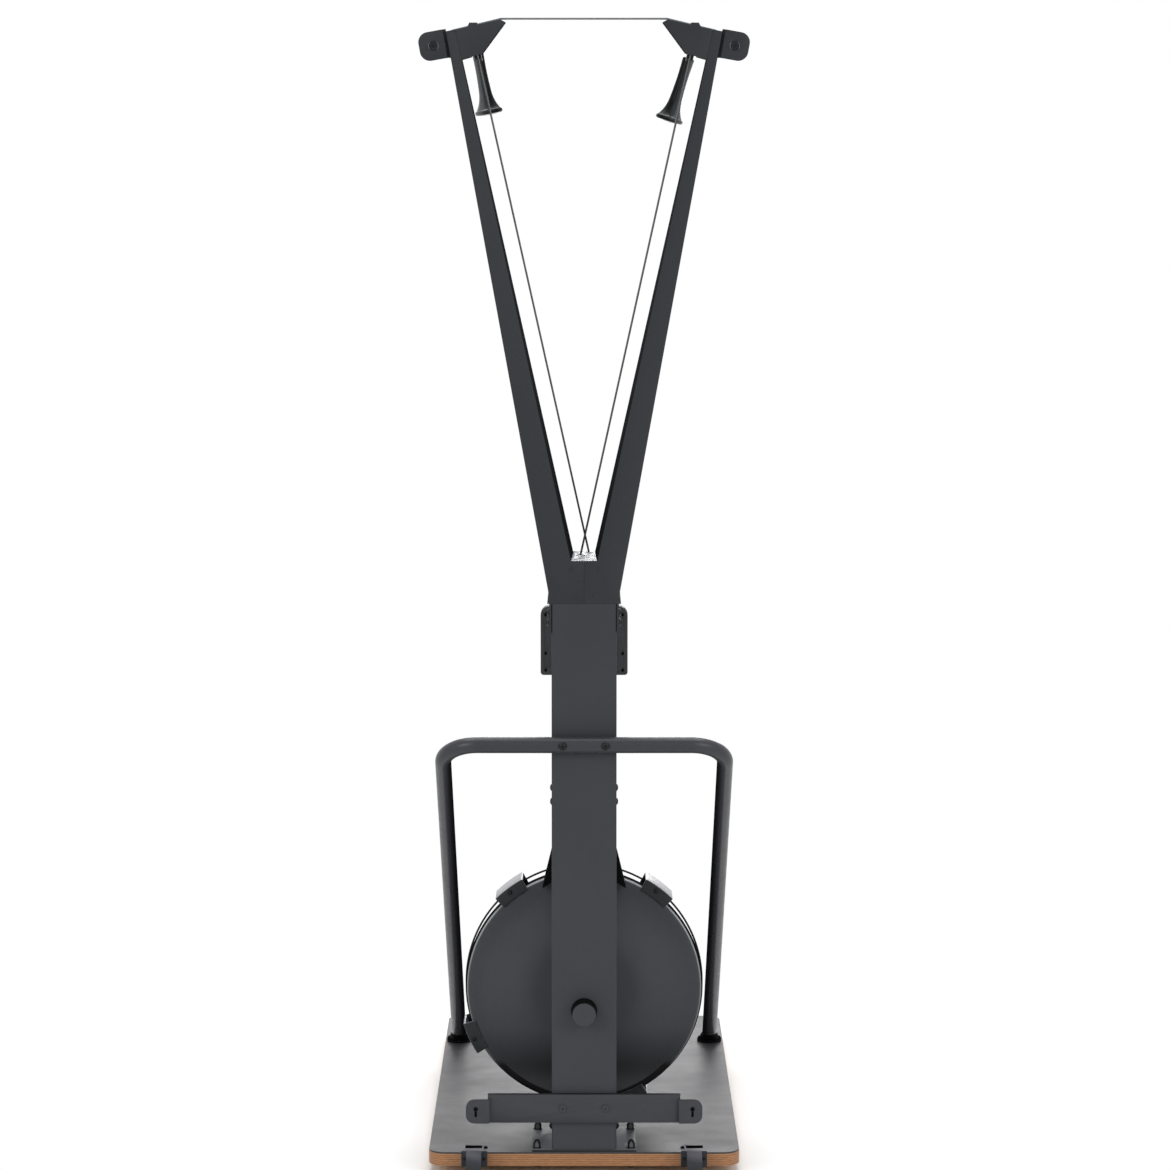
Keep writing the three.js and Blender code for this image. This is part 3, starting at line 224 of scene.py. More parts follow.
class Shader(Nodes):
    """A procedural material under construction."""

    def __init__(self, name: str) -> None:
        """Starts the material.

        Args:
            name: the material's name.
        """
        self.material = bpy.data.materials.new(name)
        self.material.use_nodes = True
        super().__init__(self.material.node_tree)
        self.surface = self.tree.nodes["Principled BSDF"]

    @cached_property
    def where(self) -> Socket:
        """The plain Object coordinates."""
        return self.place()

    @cached_property
    def outward(self) -> Socket:
        """How far a face looks away from the machine's middle plane, from -1 to 1."""
        return self.maths("MULTIPLY", self.normal(Axis.X), self.maths("SIGN", self.axis(self.where, Axis.X)))

    def place(self, scale: Point = (1, 1, 1), turn: Point = (0, 0, 0), own: bool = False) -> Socket:
        """Object coordinates, or the mesh's own UV, scaled and turned."""
        source = self.add("ShaderNodeTexCoord").outputs["UV" if own else "Object"]
        return self.add("ShaderNodeMapping", {"Vector": source, "Scale": scale, "Rotation": turn}).outputs[0]

    def axis(self, vector: Socket, axis: Axis) -> Socket:
        """One axis of a vector."""
        return self.add("ShaderNodeSeparateXYZ", {0: vector}).outputs[axis]

    def normal(self, axis: Axis) -> Socket:
        """How far a face looks along an axis, from -1 to 1."""
        return self.axis(self.add("ShaderNodeNewGeometry").outputs["Normal"], axis)

    def noise(self, grain: Grain, where: Socket | None = None) -> Socket:
        """A noise pattern's value, on the plain coordinates unless others are given.

        Args:
            grain: the pattern.
            where: other coordinates, or none.

        Returns:
            The value.
        """
        inputs = {"Scale": grain.scale, "Detail": grain.detail, "Roughness": grain.rough}
        inputs["Vector"] = self.where if where is None else where
        return self.add("ShaderNodeTexNoise", inputs).outputs[0]

    def cells(self, scale: float) -> Socket:
        """The distance in a fine cell pattern."""
        return self.add("ShaderNodeTexVoronoi", {"Vector": self.where, "Scale": scale}).outputs[0]

    def ramp(self, factor: Socket, stops: Sequence[tuple[float, Colour]]) -> Socket:
        """Colours spread along a factor.

        Args:
            factor: the factor.
            stops: pairs of a place along it and a colour.

        Returns:
            The colour.
        """
        node = self.add("ShaderNodeValToRGB", {"Fac": factor})
        elements = node.color_ramp.elements
        while len(elements) < len(stops):
            elements.new(0.5)
        for element, (position, colour) in zip(elements, stops):
            element.position = position
            element.color = colour
        return node.outputs[0]

    def between(
        self, factor: Socket, dark: Colour, light: Colour, start: float = 0.3, end: float = 0.7
    ) -> Socket:
        """Two colours along the middle of a factor."""
        return self.ramp(factor, [(start, dark), (end, light)])

    def mottle(self, grain: Grain, dark: Colour, light: Colour) -> Socket:
        """Two colours mottled by a noise pattern."""
        return self.between(self.noise(grain), dark, light)

    def spread(
        self, factor: Socket, low: float, high: float, start: float = 0.3, end: float = 0.7
    ) -> Socket:
        """A value that follows a factor between two limits."""
        inputs = {"Value": factor, "From Min": start, "From Max": end, "To Min": low, "To Max": high}
        return self.add("ShaderNodeMapRange", inputs).outputs[0]

    def past(self, factor: Socket, start: float, end: float) -> Socket:
        """A mask that rises from 0 to 1 as a factor goes from start to end."""
        return self.spread(factor, 0, 1, start, end)

    def before(self, factor: Socket, start: float, end: float) -> Socket:
        """A mask that falls from 1 to 0 as a factor goes from start to end."""
        return self.spread(factor, 1, 0, start, end)

    def both(self, first: Socket, second: Socket) -> Socket:
        """A mask where two masks meet."""
        return self.maths("MULTIPLY", first, second)

    def mix(self, factor: Any, first: Any, second: Any, blend: str = "MIX") -> Socket:
        """Two colours mixed by a factor."""
        inputs = {0: factor, 6: first, 7: second}
        return self.add("ShaderNodeMix", inputs, data_type="RGBA", blend_type=blend).outputs[2]

    def wear(
        self, colour: Any, rough: Any, height: Socket | None = None, relief: Point = (0.2, 0.0003)
    ) -> None:
        """Joins colour, roughness and relief to the surface.

        Args:
            colour: the base colour.
            rough: the roughness.
            height: the relief's height, or none for a plain surface.
            relief: the relief's strength and depth.
        """
        self.join(colour, self.surface.inputs["Base Color"])
        self.join(rough, self.surface.inputs["Roughness"])
        if height is not None:
            inputs = {"Height": height, "Strength": relief[0], "Distance": relief[1]}
            self.join(self.add("ShaderNodeBump", inputs).outputs[0], self.surface.inputs["Normal"])

    def set(self, **values: float) -> bpy.types.Material:
        """Sets plain values on the surface's own sockets and ends the material.

        Args:
            values: the values by socket name, an underscore for a space.

        Returns:
            The material.
        """
        for key, value in values.items():
            self.surface.inputs[key.replace("_", " ")].default_value = value
        return self.material

    def shine(self, level: Socket) -> bpy.types.Material:
        """Lets a mask set how much the surface reflects, and ends the material."""
        self.join(level, self.surface.inputs["Specular IOR Level"])
        return self.material

    def peel(self, tone: Socket, rough: float, gloss: float) -> bpy.types.Material:
        """Ends a painted surface: scuffs and a fine orange peel under its tone.

        Args:
            tone: its colour.
            rough: its mean roughness.
            gloss: its specular level.

        Returns:
            The material.
        """
        scuff = self.spread(self.noise(SCUFFS), rough - 0.05, rough + 0.07)
        self.wear(tone, scuff, self.noise(PEEL), (0.16, 0.0003))
        return self.set(Specular_IOR_Level=gloss)

    def coat(self, tone: Socket, rough: float, gloss: float) -> bpy.types.Material:
        """Ends a painted surface that also has fine specks."""
        speck = self.between(self.noise(SPECKS), srgb(226, 226, 226), srgb(255, 255, 255), 0.35, 0.65)
        return self.peel(self.mix(0.6, tone, speck, "MULTIPLY"), rough, gloss)


class Coating(ABC):
    """A finish that makes its own material."""

    @abstractmethod
    def make(self) -> bpy.types.Material:
        """The finished material."""


@dataclass(frozen=True)
class Paint(Coating):
    """Powder coat: a fine orange peel, a slow drift of tone and faint scuffs, with painted light and shade.

    Attributes:
        name: the material's name.
        colour: its linear colour.
        rough: its mean roughness.
        gloss: its specular level.
        inward_shade: the share of the colour left on faces that look at the middle of the machine, as
            painted shade; those faces also reflect less.
        top_shading: the share of the colour kept on faces that look up, as painted shade, or how much
            lighter they are, as painted light.
        floor_bounce: how much lighter the paint is near the floor than a metre above it, as painted light
            bounced from the floor.
        floor_bounce_heights: the heights between which it turns from one to the other.
    """

    name: str
    colour: Colour
    rough: float = 0.6
    gloss: float = 0.16
    inward_shade: float = 1
    top_shading: float = 1
    floor_bounce: float = 0
    floor_bounce_heights: tuple[float, float] = (0.1, 1.1)

    def make(self) -> bpy.types.Material:
        """The paint, with painted light and shade by height and by the way each face looks.

        Returns:
            The material.
        """
        shader = Shader(self.name)
        tone = shader.mottle(DRIFT, shade(self.colour, 0.95), shade(self.colour, 1.05))
        speck = shader.between(
            shader.noise(SPECKS), shade(self.colour, 0.85), shade(self.colour, 1.15), 0.35, 0.65
        )
        tone = shader.mix(0.3, tone, speck)
        # painted light bounced from the floor: lighter low down, darker higher up
        if self.floor_bounce:
            height = shader.axis(shader.where, Axis.Z)
            lift = shader.spread(height, 1 + self.floor_bounce, 1 - self.floor_bounce / 2, *self.floor_bounce_heights)
            bounce_light = shader.add("ShaderNodeCombineColor", {0: lift, 1: lift, 2: lift}).outputs[0]
            tone = shader.mix(1.0, tone, bounce_light, "MULTIPLY")
        # painted shade on faces that look at the middle of the machine
        if self.inward_shade < 1:
            facing = shader.before(shader.outward, -0.75, -0.2)
            tone = shader.mix(facing, tone, shade(self.colour, self.inward_shade))
        # painted shade, or painted light, on faces that look up
        if self.top_shading != 1:
            facing = shader.past(shader.normal(Axis.Z), 0.5, 0.8)
            tone = shader.mix(facing, tone, shade(self.colour, self.top_shading))
        material = shader.peel(tone, self.rough, self.gloss)
        # painted shade in the gloss too: those faces reflect less
        if self.inward_shade < 1:
            shader.shine(shader.spread(shader.outward, 0, self.gloss, -0.45, 0.15))
        return material


@dataclass(frozen=True)
class CoverPaint(Coating):
    """Fan cover paint with painted shade across its lower part, and a painted highlight line and a painted
    shadow band where its rim is rounded.

    Attributes:
        rough: its mean roughness.
        gloss: its specular level.
        foot: the heights between which the tones lie.
        tones: the paint's tones up the foot, the darkest of them painted shade.
        drift: the darkest and the lightest drift over the tones.
        rim_heights: the heights between which the line brightens.
        rim: the painted highlight line's colour at its foot and at its top.
        line: how far inside the rim the line starts and is full.
        band: how far inside the rim the painted shadow band starts and is full.
        shadow_band_heights: the heights between which the painted shadow band ends.
        shadow_band_colour: the painted shadow band's colour.
    """

    rough: float = 0.6
    gloss: float = 0.16
    foot: tuple[float, float] = (0.1, 0.25)
    tones: tuple[tuple[float, Colour], ...] = (
        (0.0, srgb(79, 80, 84)), (0.2, srgb(77, 78, 82)), (0.35, srgb(60, 61, 64)),
        (0.45, srgb(56, 57, 60)), (0.65, srgb(64, 65, 69)), (0.95, srgb(75, 76, 80)),
    )
    drift: tuple[Colour, Colour] = (srgb(248, 248, 248), srgb(255, 255, 255))
    rim_heights: tuple[float, float] = (0.2, 0.45)
    rim: tuple[Colour, Colour] = (srgb(88, 91, 93), srgb(160, 165, 166))
    line: tuple[float, float] = (0.0028, 0.0018)
    band: tuple[float, float] = (0.0135, 0.0118)
    shadow_band_heights: tuple[float, float] = (0.165, 0.176)
    shadow_band_colour: Colour = srgb(15, 15, 16)

    def make(self) -> bpy.types.Material:
        """The paint with the rim's painted highlight line and painted shadow band, which stay on the rear of
        the rounding.

        Returns:
            The material.
        """
        shader = Shader("cover_paint")
        x, y, z = (shader.axis(shader.where, axis) for axis in Axis)
        # painted shade across the cover's lower part
        tone = shader.ramp(shader.past(z, *self.foot), self.tones)
        tone = shader.mix(1.0, tone, shader.mottle(DRIFT, *self.drift), "MULTIPLY")
        flat = shader.add("ShaderNodeCombineXYZ", {0: x, 2: shader.maths("SUBTRACT", z, SHAFT_Z)}).outputs[0]
        radius = shader.vector("LENGTH", flat).outputs["Value"]
        corner = COVER_BACK + COVER_DEPTH + COVER_ROUNDING
        rear = shader.before(y, corner - 0.001, corner + 0.001)
        line, band = (
            shader.past(radius, COVER_RADIUS - start, COVER_RADIUS - full)
            for start, full in (self.line, self.band)
        )
        # painted highlight along the rounded rim, brighter higher up
        bright = shader.mix(shader.past(z, *self.rim_heights), *self.rim)
        tone = shader.mix(shader.both(line, rear), tone, bright)
        # painted shadow band along the lower part of the rim
        band = shader.both(band, shader.before(z, *self.shadow_band_heights))
        tone = shader.mix(shader.both(band, rear), tone, self.shadow_band_colour)
        return shader.coat(tone, self.rough, self.gloss)


@dataclass(frozen=True)
class BracketPaint(Coating):
    """Wheel bracket paint with painted light on its top and a dull black painted shadow strip across the
    flange's far end.

    Attributes:
        rough: its mean roughness.
        gloss: its specular level.
        sides: the tones of the bracket's sides.
        near: the flange's colour by the platform's rear edge.
        far: its colour further forward.
        turn: where along the flange the colour changes, from the rear edge.
        strip: the painted shadow strip's colour.
        start: where the strip starts along the flange, from the rear edge.
        end: where the strip ends.
        aside: how far from the middle of the machine the strip starts.
    """

    rough: float = 0.6
    gloss: float = 0.22
    sides: tuple[Colour, Colour] = (srgb(48, 50, 55), srgb(52, 54, 59))
    near: Colour = srgb(84, 84, 91)
    far: Colour = srgb(64, 63, 66)
    turn: tuple[float, float] = (0.036, 0.04)
    strip: Colour = srgb(7, 7, 8)
    start: tuple[float, float] = (0.0175, 0.0195)
    end: tuple[float, float] = (0.0405, 0.0425)
    aside: tuple[float, float] = (0.1958, 0.1972)

    def make(self) -> bpy.types.Material:
        """The paint, without gloss on the painted shadow strip.

        Returns:
            The material.
        """
        shader = Shader("flange_paint")
        along = shader.axis(shader.where, Axis.Y)
        start, end, turn = ((REAR + low, REAR + high) for low, high in (self.start, self.end, self.turn))
        # painted shadow strip across the flange's far end
        strip = shader.both(shader.past(along, *start), shader.before(along, *end))
        aside = shader.maths("ABSOLUTE", shader.axis(shader.where, Axis.X))
        strip = shader.both(strip, shader.past(aside, *self.aside))
        # painted light: the faces that look up are paler than the sides
        top = shader.mix(shader.past(along, *turn), self.near, self.far)
        flat = shader.past(shader.normal(Axis.Z), 0.4, 0.8)
        tone = shader.mix(flat, shader.mottle(DRIFT, *self.sides), shader.mix(strip, top, self.strip))
        shader.coat(tone, self.rough, self.gloss)
        return shader.shine(shader.spread(shader.both(flat, strip), self.gloss, 0, 0, 1))


@dataclass(frozen=True)
class ClipPlastic(Coating):
    """Clip plastic, dark on the face, with painted light on the sides that look up and painted shade on
    those that look down.

    Attributes:
        rough: its mean roughness.
        face: the tones of the face.
        lower: the painted shade colour of the sides that look down.
        upper: the painted light colour of the sides that look up.
        gloss: the specular level of the face and of the sides.
    """

    rough: float = 0.3
    face: tuple[Colour, Colour] = (srgb(44, 46, 48), srgb(52, 54, 57))
    lower: Colour = srgb(34, 35, 37)
    upper: Colour = srgb(142, 142, 149)
    gloss: tuple[float, float] = (0.16, 1.0)

    def make(self) -> bpy.types.Material:
        """The plastic, with painted light and shade by the way each face looks.

        Returns:
            The material.
        """
        shader = Shader("clip_plastic")
        aside = shader.before(shader.maths("ABSOLUTE", shader.normal(Axis.Y)), 0.25, 0.85)
        # painted light on the sides that look up, painted shade on those that look down
        side = shader.mix(shader.past(shader.normal(Axis.Z), -0.1, 0.35), self.lower, self.upper)
        shader.coat(shader.mix(aside, shader.mottle(SPARKS, *self.face), side), self.rough, 0.3)
        return shader.shine(shader.spread(aside, *self.gloss, 0, 1))


@dataclass(frozen=True)
class GlintSteel(Coating):
    """Black steel with a painted highlight on the sides that look one way along an axis.

    Attributes:
        name: the material's name.
        black: the tones of the black.
        highlight: the painted highlight's colour.
        axis: the axis along which the highlit sides look.
        mirrored: whether both ways along the axis count.
        highlight_mask: the painted highlight mask's two ends, and where along the axis it starts and ends.
        rough: its mean roughness.
        gloss: its specular level.
    """

    name: str
    black: tuple[Colour, Colour]
    bright: Colour
    axis: Axis
    mirrored: bool
    highlight_mask: tuple[float, float, float, float]
    rough: float
    gloss: float

    def make(self) -> bpy.types.Material:
        """The steel, with a painted highlight by the way each face looks.

        Returns:
            The material.
        """
        shader = Shader(self.name)
        facing = shader.normal(self.axis)
        if self.mirrored:
            facing = shader.maths("ABSOLUTE", facing)
        # painted highlight on the faces that look along the axis
        highlight_mask = shader.spread(facing, *self.highlight_mask)
        tone = shader.mix(highlight_mask, shader.mottle(SMUTS, *self.black), self.bright)
        return shader.coat(tone, self.rough, self.gloss)


@dataclass(frozen=True)
class Moulding(Coating):
    """Moulded plastic or rubber with a fine spark-eroded texture."""

    name: str
    colour: Colour
    rough: float
    gloss: float = 0.2

    def make(self) -> bpy.types.Material:
        """The plastic with a slow mottle and a fine grain.

        Returns:
            The material.
        """
        shader = Shader(self.name)
        tone = shader.mottle(SPARKS, shade(self.colour, 0.88), shade(self.colour, 1.12))
        rough = shader.spread(shader.noise(Grain(60, 4)), self.rough - 0.05, self.rough + 0.06)
        shader.wear(tone, rough, shader.cells(1500.0), (0.14, 0.0002))
        return shader.set(Specular_IOR_Level=self.gloss)


@dataclass(frozen=True)
class Metal(Coating):
    """Turned or blackened steel with fine streaks."""

    name: str
    colour: Colour
    rough: float
    metallic: float = 0.4
    streaks: Grain = Grain(180, 4, 0.6)
    gloss: float = 0.3

    def make(self) -> bpy.types.Material:
        """The steel, streaked along one axis.

        Returns:
            The material.
        """
        shader = Shader(self.name)
        streak = shader.noise(self.streaks, shader.place((1, 14, 1)))
        tone = shader.between(streak, shade(self.colour, 0.85), shade(self.colour, 1.15))
        rough = shader.spread(streak, self.rough - 0.07, self.rough + 0.08)
        shader.wear(tone, rough, streak, (0.08, 0.0001))
        return shader.set(Metallic=self.metallic, Specular_IOR_Level=self.gloss)


@dataclass(frozen=True)
class GuidePlastic(Coating):
    """Pale guide plastic, mottled by the dark dust that the cords leave."""

    dust: Grain = Grain(70)
    tones: tuple[tuple[float, Colour], ...] = (
        (0.36, srgb(150, 151, 154)), (0.52, srgb(200, 201, 204)), (0.7, srgb(216, 217, 219)),
    )

    def make(self) -> bpy.types.Material:
        """The plastic, rougher where the dust lies.

        Returns:
            The material.
        """
        shader = Shader("pale_guide")
        smudge = shader.noise(self.dust)
        tone = shader.ramp(smudge, self.tones)
        shader.wear(tone, shader.spread(smudge, 0.55, 0.35), smudge, (0.1, 0.0003))
        return shader.set(Specular_IOR_Level=0.3)


@dataclass(frozen=True)
class GripGloss(Coating):
    """Glossy grip moulding with painted light on its outer side and painted shade on the side that looks at
    the machine's middle, with a little surface waviness.
    """

    # inner holds the painted shade tones, outer the painted light; the gloss is lower on the inner side as
    # painted shade
    inner: tuple[Colour, Colour] = (srgb(14, 15, 16), srgb(24, 25, 27))
    outer: Colour = srgb(86, 89, 92)
    gloss: tuple[float, float] = (0.07, 0.42)

    def make(self) -> bpy.types.Material:
        """The moulding, with painted light and shade in its tone and gloss by the way each face looks.

        Returns:
            The material.
        """
        shader = Shader("grip_gloss")
        # painted light on the outer side, painted shade on the inner side
        tone = shader.mix(
            shader.past(shader.outward, -0.1, 0.5), shader.mottle(Grain(40), *self.inner), self.outer
        )
        smear = shader.spread(shader.noise(Grain(120, 5)), 0.18, 0.3)
        shader.wear(tone, smear, shader.noise(Grain(90, 2)), (0.06, 0.0004))
        return shader.shine(shader.spread(shader.outward, *self.gloss, -0.25, 0.4))


@dataclass(frozen=True)
class Plywood(Coating):
    """Birch plywood: plies along the edge, grain along the faces.

    Attributes:
        pitch: how fast the plies follow each other, in radians a metre.
        edge: the tones of the plies.
        face: the tones of the faces.
    """

    pitch: float = 1750.0
    edge: tuple[tuple[float, Colour], ...] = (
        (0.28, srgb(112, 74, 46)), (0.5, srgb(156, 106, 66)), (0.74, srgb(178, 130, 84)),
    )
    face: tuple[tuple[float, Colour], ...] = (
        (0.3, srgb(178, 128, 84)), (0.55, srgb(204, 158, 112)), (0.8, srgb(216, 174, 128)),
    )

    def make(self) -> bpy.types.Material:
        """The wood, as plies or as grain by the way each face looks.

        Returns:
            The material.
        """
        shader = Shader("plywood")
        height = shader.axis(shader.add("ShaderNodeTexCoord").outputs["Object"], Axis.Z)
        drift = shader.noise(Grain(3), shader.place((3, 3, 1)))
        wave = shader.maths("ADD", shader.maths("MULTIPLY", height, self.pitch), drift)
        layers = shader.maths("SINE", wave)
        streak = shader.noise(Grain(3.2, 6, 0.62), shader.place((26, 26, 420)))
        plies = shader.ramp(shader.maths("ADD", shader.maths("MULTIPLY", layers, 0.16), streak), self.edge)
        face = shader.ramp(shader.noise(Grain(3, 7, 0.6), shader.place((60, 3, 60))), self.face)
        flat = shader.past(shader.maths("ABSOLUTE", shader.normal(Axis.Z)), 0.6, 0.8)
        shader.wear(shader.mix(flat, plies, face), shader.spread(streak, 0.38, 0.55), streak, (0.15, 0.0003))
        return shader.material


@dataclass(frozen=True)
class DeckMat(Coating):
    """Smooth dark mat with a soft sheen and faint pebbling."""

    tones: tuple[Colour, Colour] = (srgb(58, 57, 60), srgb(72, 71, 74))
    pebbles: float = 420.0
    gloss: float = 0.24

    def make(self) -> bpy.types.Material:
        """The mat with its marks.

        Returns:
            The material.
        """
        shader = Shader("mat")
        sheen = shader.spread(shader.noise(Grain(12, 6, 0.6)), 0.48, 0.58)
        tone = shader.mottle(Grain(5, 5), *self.tones)
        shader.wear(tone, sheen, shader.cells(self.pebbles), (0.1, 0.0003))
        return shader.set(Specular_IOR_Level=self.gloss)


@dataclass(frozen=True)
class CordBraid(Coating):
    """Braided cord: two sets of strands crossing along the cord's own UV."""

    slant: float = 38
    strands: float = 260.0
    tones: tuple[Colour, Colour] = (srgb(70, 72, 74), srgb(116, 118, 120))

    def make(self) -> bpy.types.Material:
        """The braid, rougher between its strands.

        Returns:
            The material.
        """
        shader = Shader("cord_braid")
        waves = []
        for angle in (self.slant, -self.slant):
            along = shader.place(turn=(0, 0, math.radians(angle)), own=True)
            wave = {"Vector": along, "Scale": self.strands, "Distortion": 0.4}
            waves.append(shader.add("ShaderNodeTexWave", wave).outputs[1])
        weave = shader.maths("MAXIMUM", *waves)
        tone = shader.between(weave, *self.tones, 0.2, 0.8)
        shader.wear(tone, shader.spread(weave, 0.85, 0.65, 0, 1), weave, (0.5, 0.0004))
        return shader.material


@dataclass(frozen=True)
class ScreenGlass(Coating):
    """Dark display window with a faint segment field behind glossy plastic."""

    segments: tuple[Colour, Colour] = (srgb(12, 14, 16), srgb(15, 18, 20))
    gaps: Colour = srgb(7, 8, 9)
    haze: tuple[Colour, Colour] = (srgb(6, 7, 9), srgb(14, 15, 18))

    def make(self) -> bpy.types.Material:
        """The window, under a clear coat.

        Returns:
            The material.
        """
        shader = Shader("screen")
        first, second = self.segments
        field = {
            "Vector": shader.place(turn=(math.pi / 2, 0, 0)), "Scale": 26.0, "Mortar Size": 0.012,
            "Color1": first, "Color2": second, "Mortar": self.gaps,
        }
        brick = shader.add("ShaderNodeTexBrick", field).outputs[0]
        tone = shader.mix(0.3, brick, shader.mottle(Grain(30), *self.haze))
        shader.wear(tone, shader.spread(shader.noise(Grain(90, 4)), 0.05, 0.12))
        return shader.set(Coat_Weight=0.4, Coat_Roughness=0.05)


COATINGS: dict[Finish, Coating] = {
    # the column paint has painted floor bounce light; the fork and stay paints painted shade on inward
    # faces; the base paint painted light and the bar paint painted shade on their tops
    Finish.COLUMN: Paint("column_paint", srgb(60, 61, 65), floor_bounce=0.13),
    Finish.FORK: Paint("fork_paint", srgb(51, 53, 56), inward_shade=0.6),
    Finish.STAY: Paint("stay_paint", srgb(56, 57, 61), 0.3, gloss=0.3, inward_shade=0.3),
    Finish.BASE: Paint("base_paint", srgb(30, 31, 33), 0.5, gloss=0.34, top_shading=9.0),
    Finish.WALL_BAR: Paint("bar_paint", srgb(64, 65, 69), top_shading=0.12),
    Finish.COVER: CoverPaint(),
    Finish.BRACKET: BracketPaint(),
    Finish.PLASTIC: Moulding("black_plastic", srgb(24, 25, 26), 0.55),
    Finish.CASE: Moulding("case_plastic", srgb(66, 68, 71), 0.5),
    Finish.DEEP: Moulding("deep_plastic", srgb(12, 12, 13), 0.7, 0.04),
    Finish.RUBBER: Moulding("rubber", srgb(22, 22, 23), 0.8),
    Finish.CLIP: ClipPlastic(),
    Finish.GRIP: GripGloss(),
    Finish.PLYWOOD: Plywood(),
    Finish.MAT: DeckMat(),
    Finish.PALE: GuidePlastic(),
    Finish.CORD: CordBraid(),
    Finish.BOLT: Metal("black_oxide", srgb(26, 27, 29), 0.34),
    Finish.GUARD: Metal("guard_wire", srgb(20, 21, 23), 0.3),
    Finish.STEEL: Metal("turned_steel", srgb(150, 152, 156), 0.32, 1.0),
    # the nut and rim steels carry painted highlights
    Finish.NUT: GlintSteel(
        "nut_steel", (srgb(14, 15, 16), srgb(24, 25, 27)), srgb(92, 94, 97),
        Axis.Y, False, (1, 0, -0.99, -0.93), 0.5, 0.1,
    ),
    Finish.RIM: GlintSteel(
        "rim_steel", (srgb(24, 25, 26), srgb(32, 33, 35)), srgb(196, 200, 204),
        Axis.X, True, (0, 1, 0.45, 0.8), 0.4, 0.2,
    ),
    Finish.SCREEN: ScreenGlass(),
}


@dataclass(frozen=True)
class Tag:
    """What a finished piece is called, wears and rides on, and the CAD node that it stands for, if any."""

    name: str
    finish: Finish
    body: str = "root"
    node: str = ""

    @classmethod
    def of(cls, node: str, finish: Finish) -> "Tag":
        """The tag of a piece that stands for a CAD node."""
        return cls(f"{node}_dressed", finish, BODY_OF[node], node)


@dataclass(frozen=True)
class Edges:
    """How a piece's edges are finished.

    Attributes:
        width: the width of the rounding, or zero for none.
        steps: the rounding's steps.
        sharp: the least angle, in degrees, of an edge that counts as sharp.
    """

    width: float = 0
    steps: int = 2
    sharp: float = 30


@dataclass(frozen=True)
class Refit:
    """A CAD node whose shape is right, and the finish and edge rounding of its dressed copy."""

    node: str
    finish: Finish
    edge: float = 0.0006
    steps: int = 2


def turn_to(axis: Point) -> Quaternion:
    """The turn that brings a shape's own Z axis to an axis."""
    return Vector(UP).rotation_difference(Vector(axis).normalized())


def turned_frame(centre: Point, axis: Point = TO_USER) -> Matrix:
    """The place of a turned shape: its own Z axis along the given axis, its zero at the centre."""
    return Matrix.Translation(Vector(centre)) @ turn_to(axis).to_matrix().to_4x4()


def upright(x: float, y: float, z: float) -> Matrix:
    """The place of an outline that stands up and looks at the wall."""
    return Matrix.Translation((x, y, z)) @ Matrix.Rotation(math.pi / 2, 4, "X")


def middle_of(node: str) -> Vector:
    """The middle of a CAD node's box."""
    low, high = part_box(node)
    return (low + high) / 2


def pair(x: float, y: float, z: float, axis: Point) -> list[Spot]:
    """The same spot on the left and on the right."""
    return [((side * x, y, z), axis) for side in HANDS.values()]


def turns(count: int) -> list[float]:
    """The angles of equal steps round a circle."""
    return [2 * math.pi * k / count for k in range(count)]


def both_ways(half: Profile) -> Profile:
    """A profile and its mirror image below zero; the half ends on zero."""
    return (*half, *((radius, -height) for radius, height in reversed(half[:-1])))


def lathe(profile: Profile, place: Matrix, segments: int = 64, into: Shape | None = None) -> Shape:
    """Turns a profile about its own Z axis.

    Args:
        profile: radius and height of each point; a third value of 1 draws that ring as a hexagon.
        place: where the shape goes.
        segments: the number of steps round.
        into: a mesh to add to, or none for a new one.

    Returns:
        The mesh.
    """
    shape = into or bmesh.new()
    rings = []
    for radius, height, *six in profile:
        if radius < 1e-7:
            rings.append([shape.verts.new(place @ Vector((0, 0, height)))])
            continue
        points = []
        for angle in turns(segments):
            reach = radius
            if six:
                reach = radius * math.cos(math.pi / 6) / math.cos((angle % (math.pi / 3)) - math.pi / 6)
            points.append(place @ Vector((reach * math.cos(angle), reach * math.sin(angle), height)))
        rings.append([shape.verts.new(point) for point in points])
    for low, high in zip(rings, rings[1:]):
        for k in range(segments):
            after = (k + 1) % segments
            corners = [low[k % len(low)], low[after % len(low)]]
            corners += [high[after % len(high)], high[k % len(high)]]
            unique = list(dict.fromkeys(corners))
            if len(unique) > 2:
                shape.faces.new(unique)
    if len(rings[0]) > 1 and tuple(profile[0][:2]) == tuple(profile[-1][:2]):
        bmesh.ops.remove_doubles(shape, verts=rings[0] + rings[-1], dist=1e-7)
    return shape


def bridge(shape: Shape, low: Sequence, high: Sequence) -> None:
    """Joins two rings of as many points each by a band of faces.

    Args:
        shape: the mesh to add to.
        low: the first ring's points.
        high: the other ring's points.
    """
    for k in range(len(low)):
        after = (k + 1) % len(low)
        shape.faces.new([low[k], low[after], high[after], high[k]])


def ring_of(shape: Shape, loop: Iterable[Point], height: float, place: Matrix) -> list:
    """Adds an outline's points at a height of its place."""
    return [shape.verts.new(place @ Vector((x, y, height))) for x, y in loop]


def prism(loop: Sequence[Point], low: float, high: float, place: Matrix, into: Shape | None = None) -> Shape:
    """A flat outline given thickness along its own Z axis.

    Args:
        loop: the outline's points.
        low: the lower height.
        high: the upper height.
        place: where the shape goes.
        into: a mesh to add to, or none for a new one.

    Returns:
        The mesh.
    """
    shape = into or bmesh.new()
    floor = ring_of(shape, loop, low, place)
    roof = ring_of(shape, loop, high, place)
    shape.faces.new(list(reversed(floor)))
    shape.faces.new(roof)
    bridge(shape, floor, roof)
    return shape


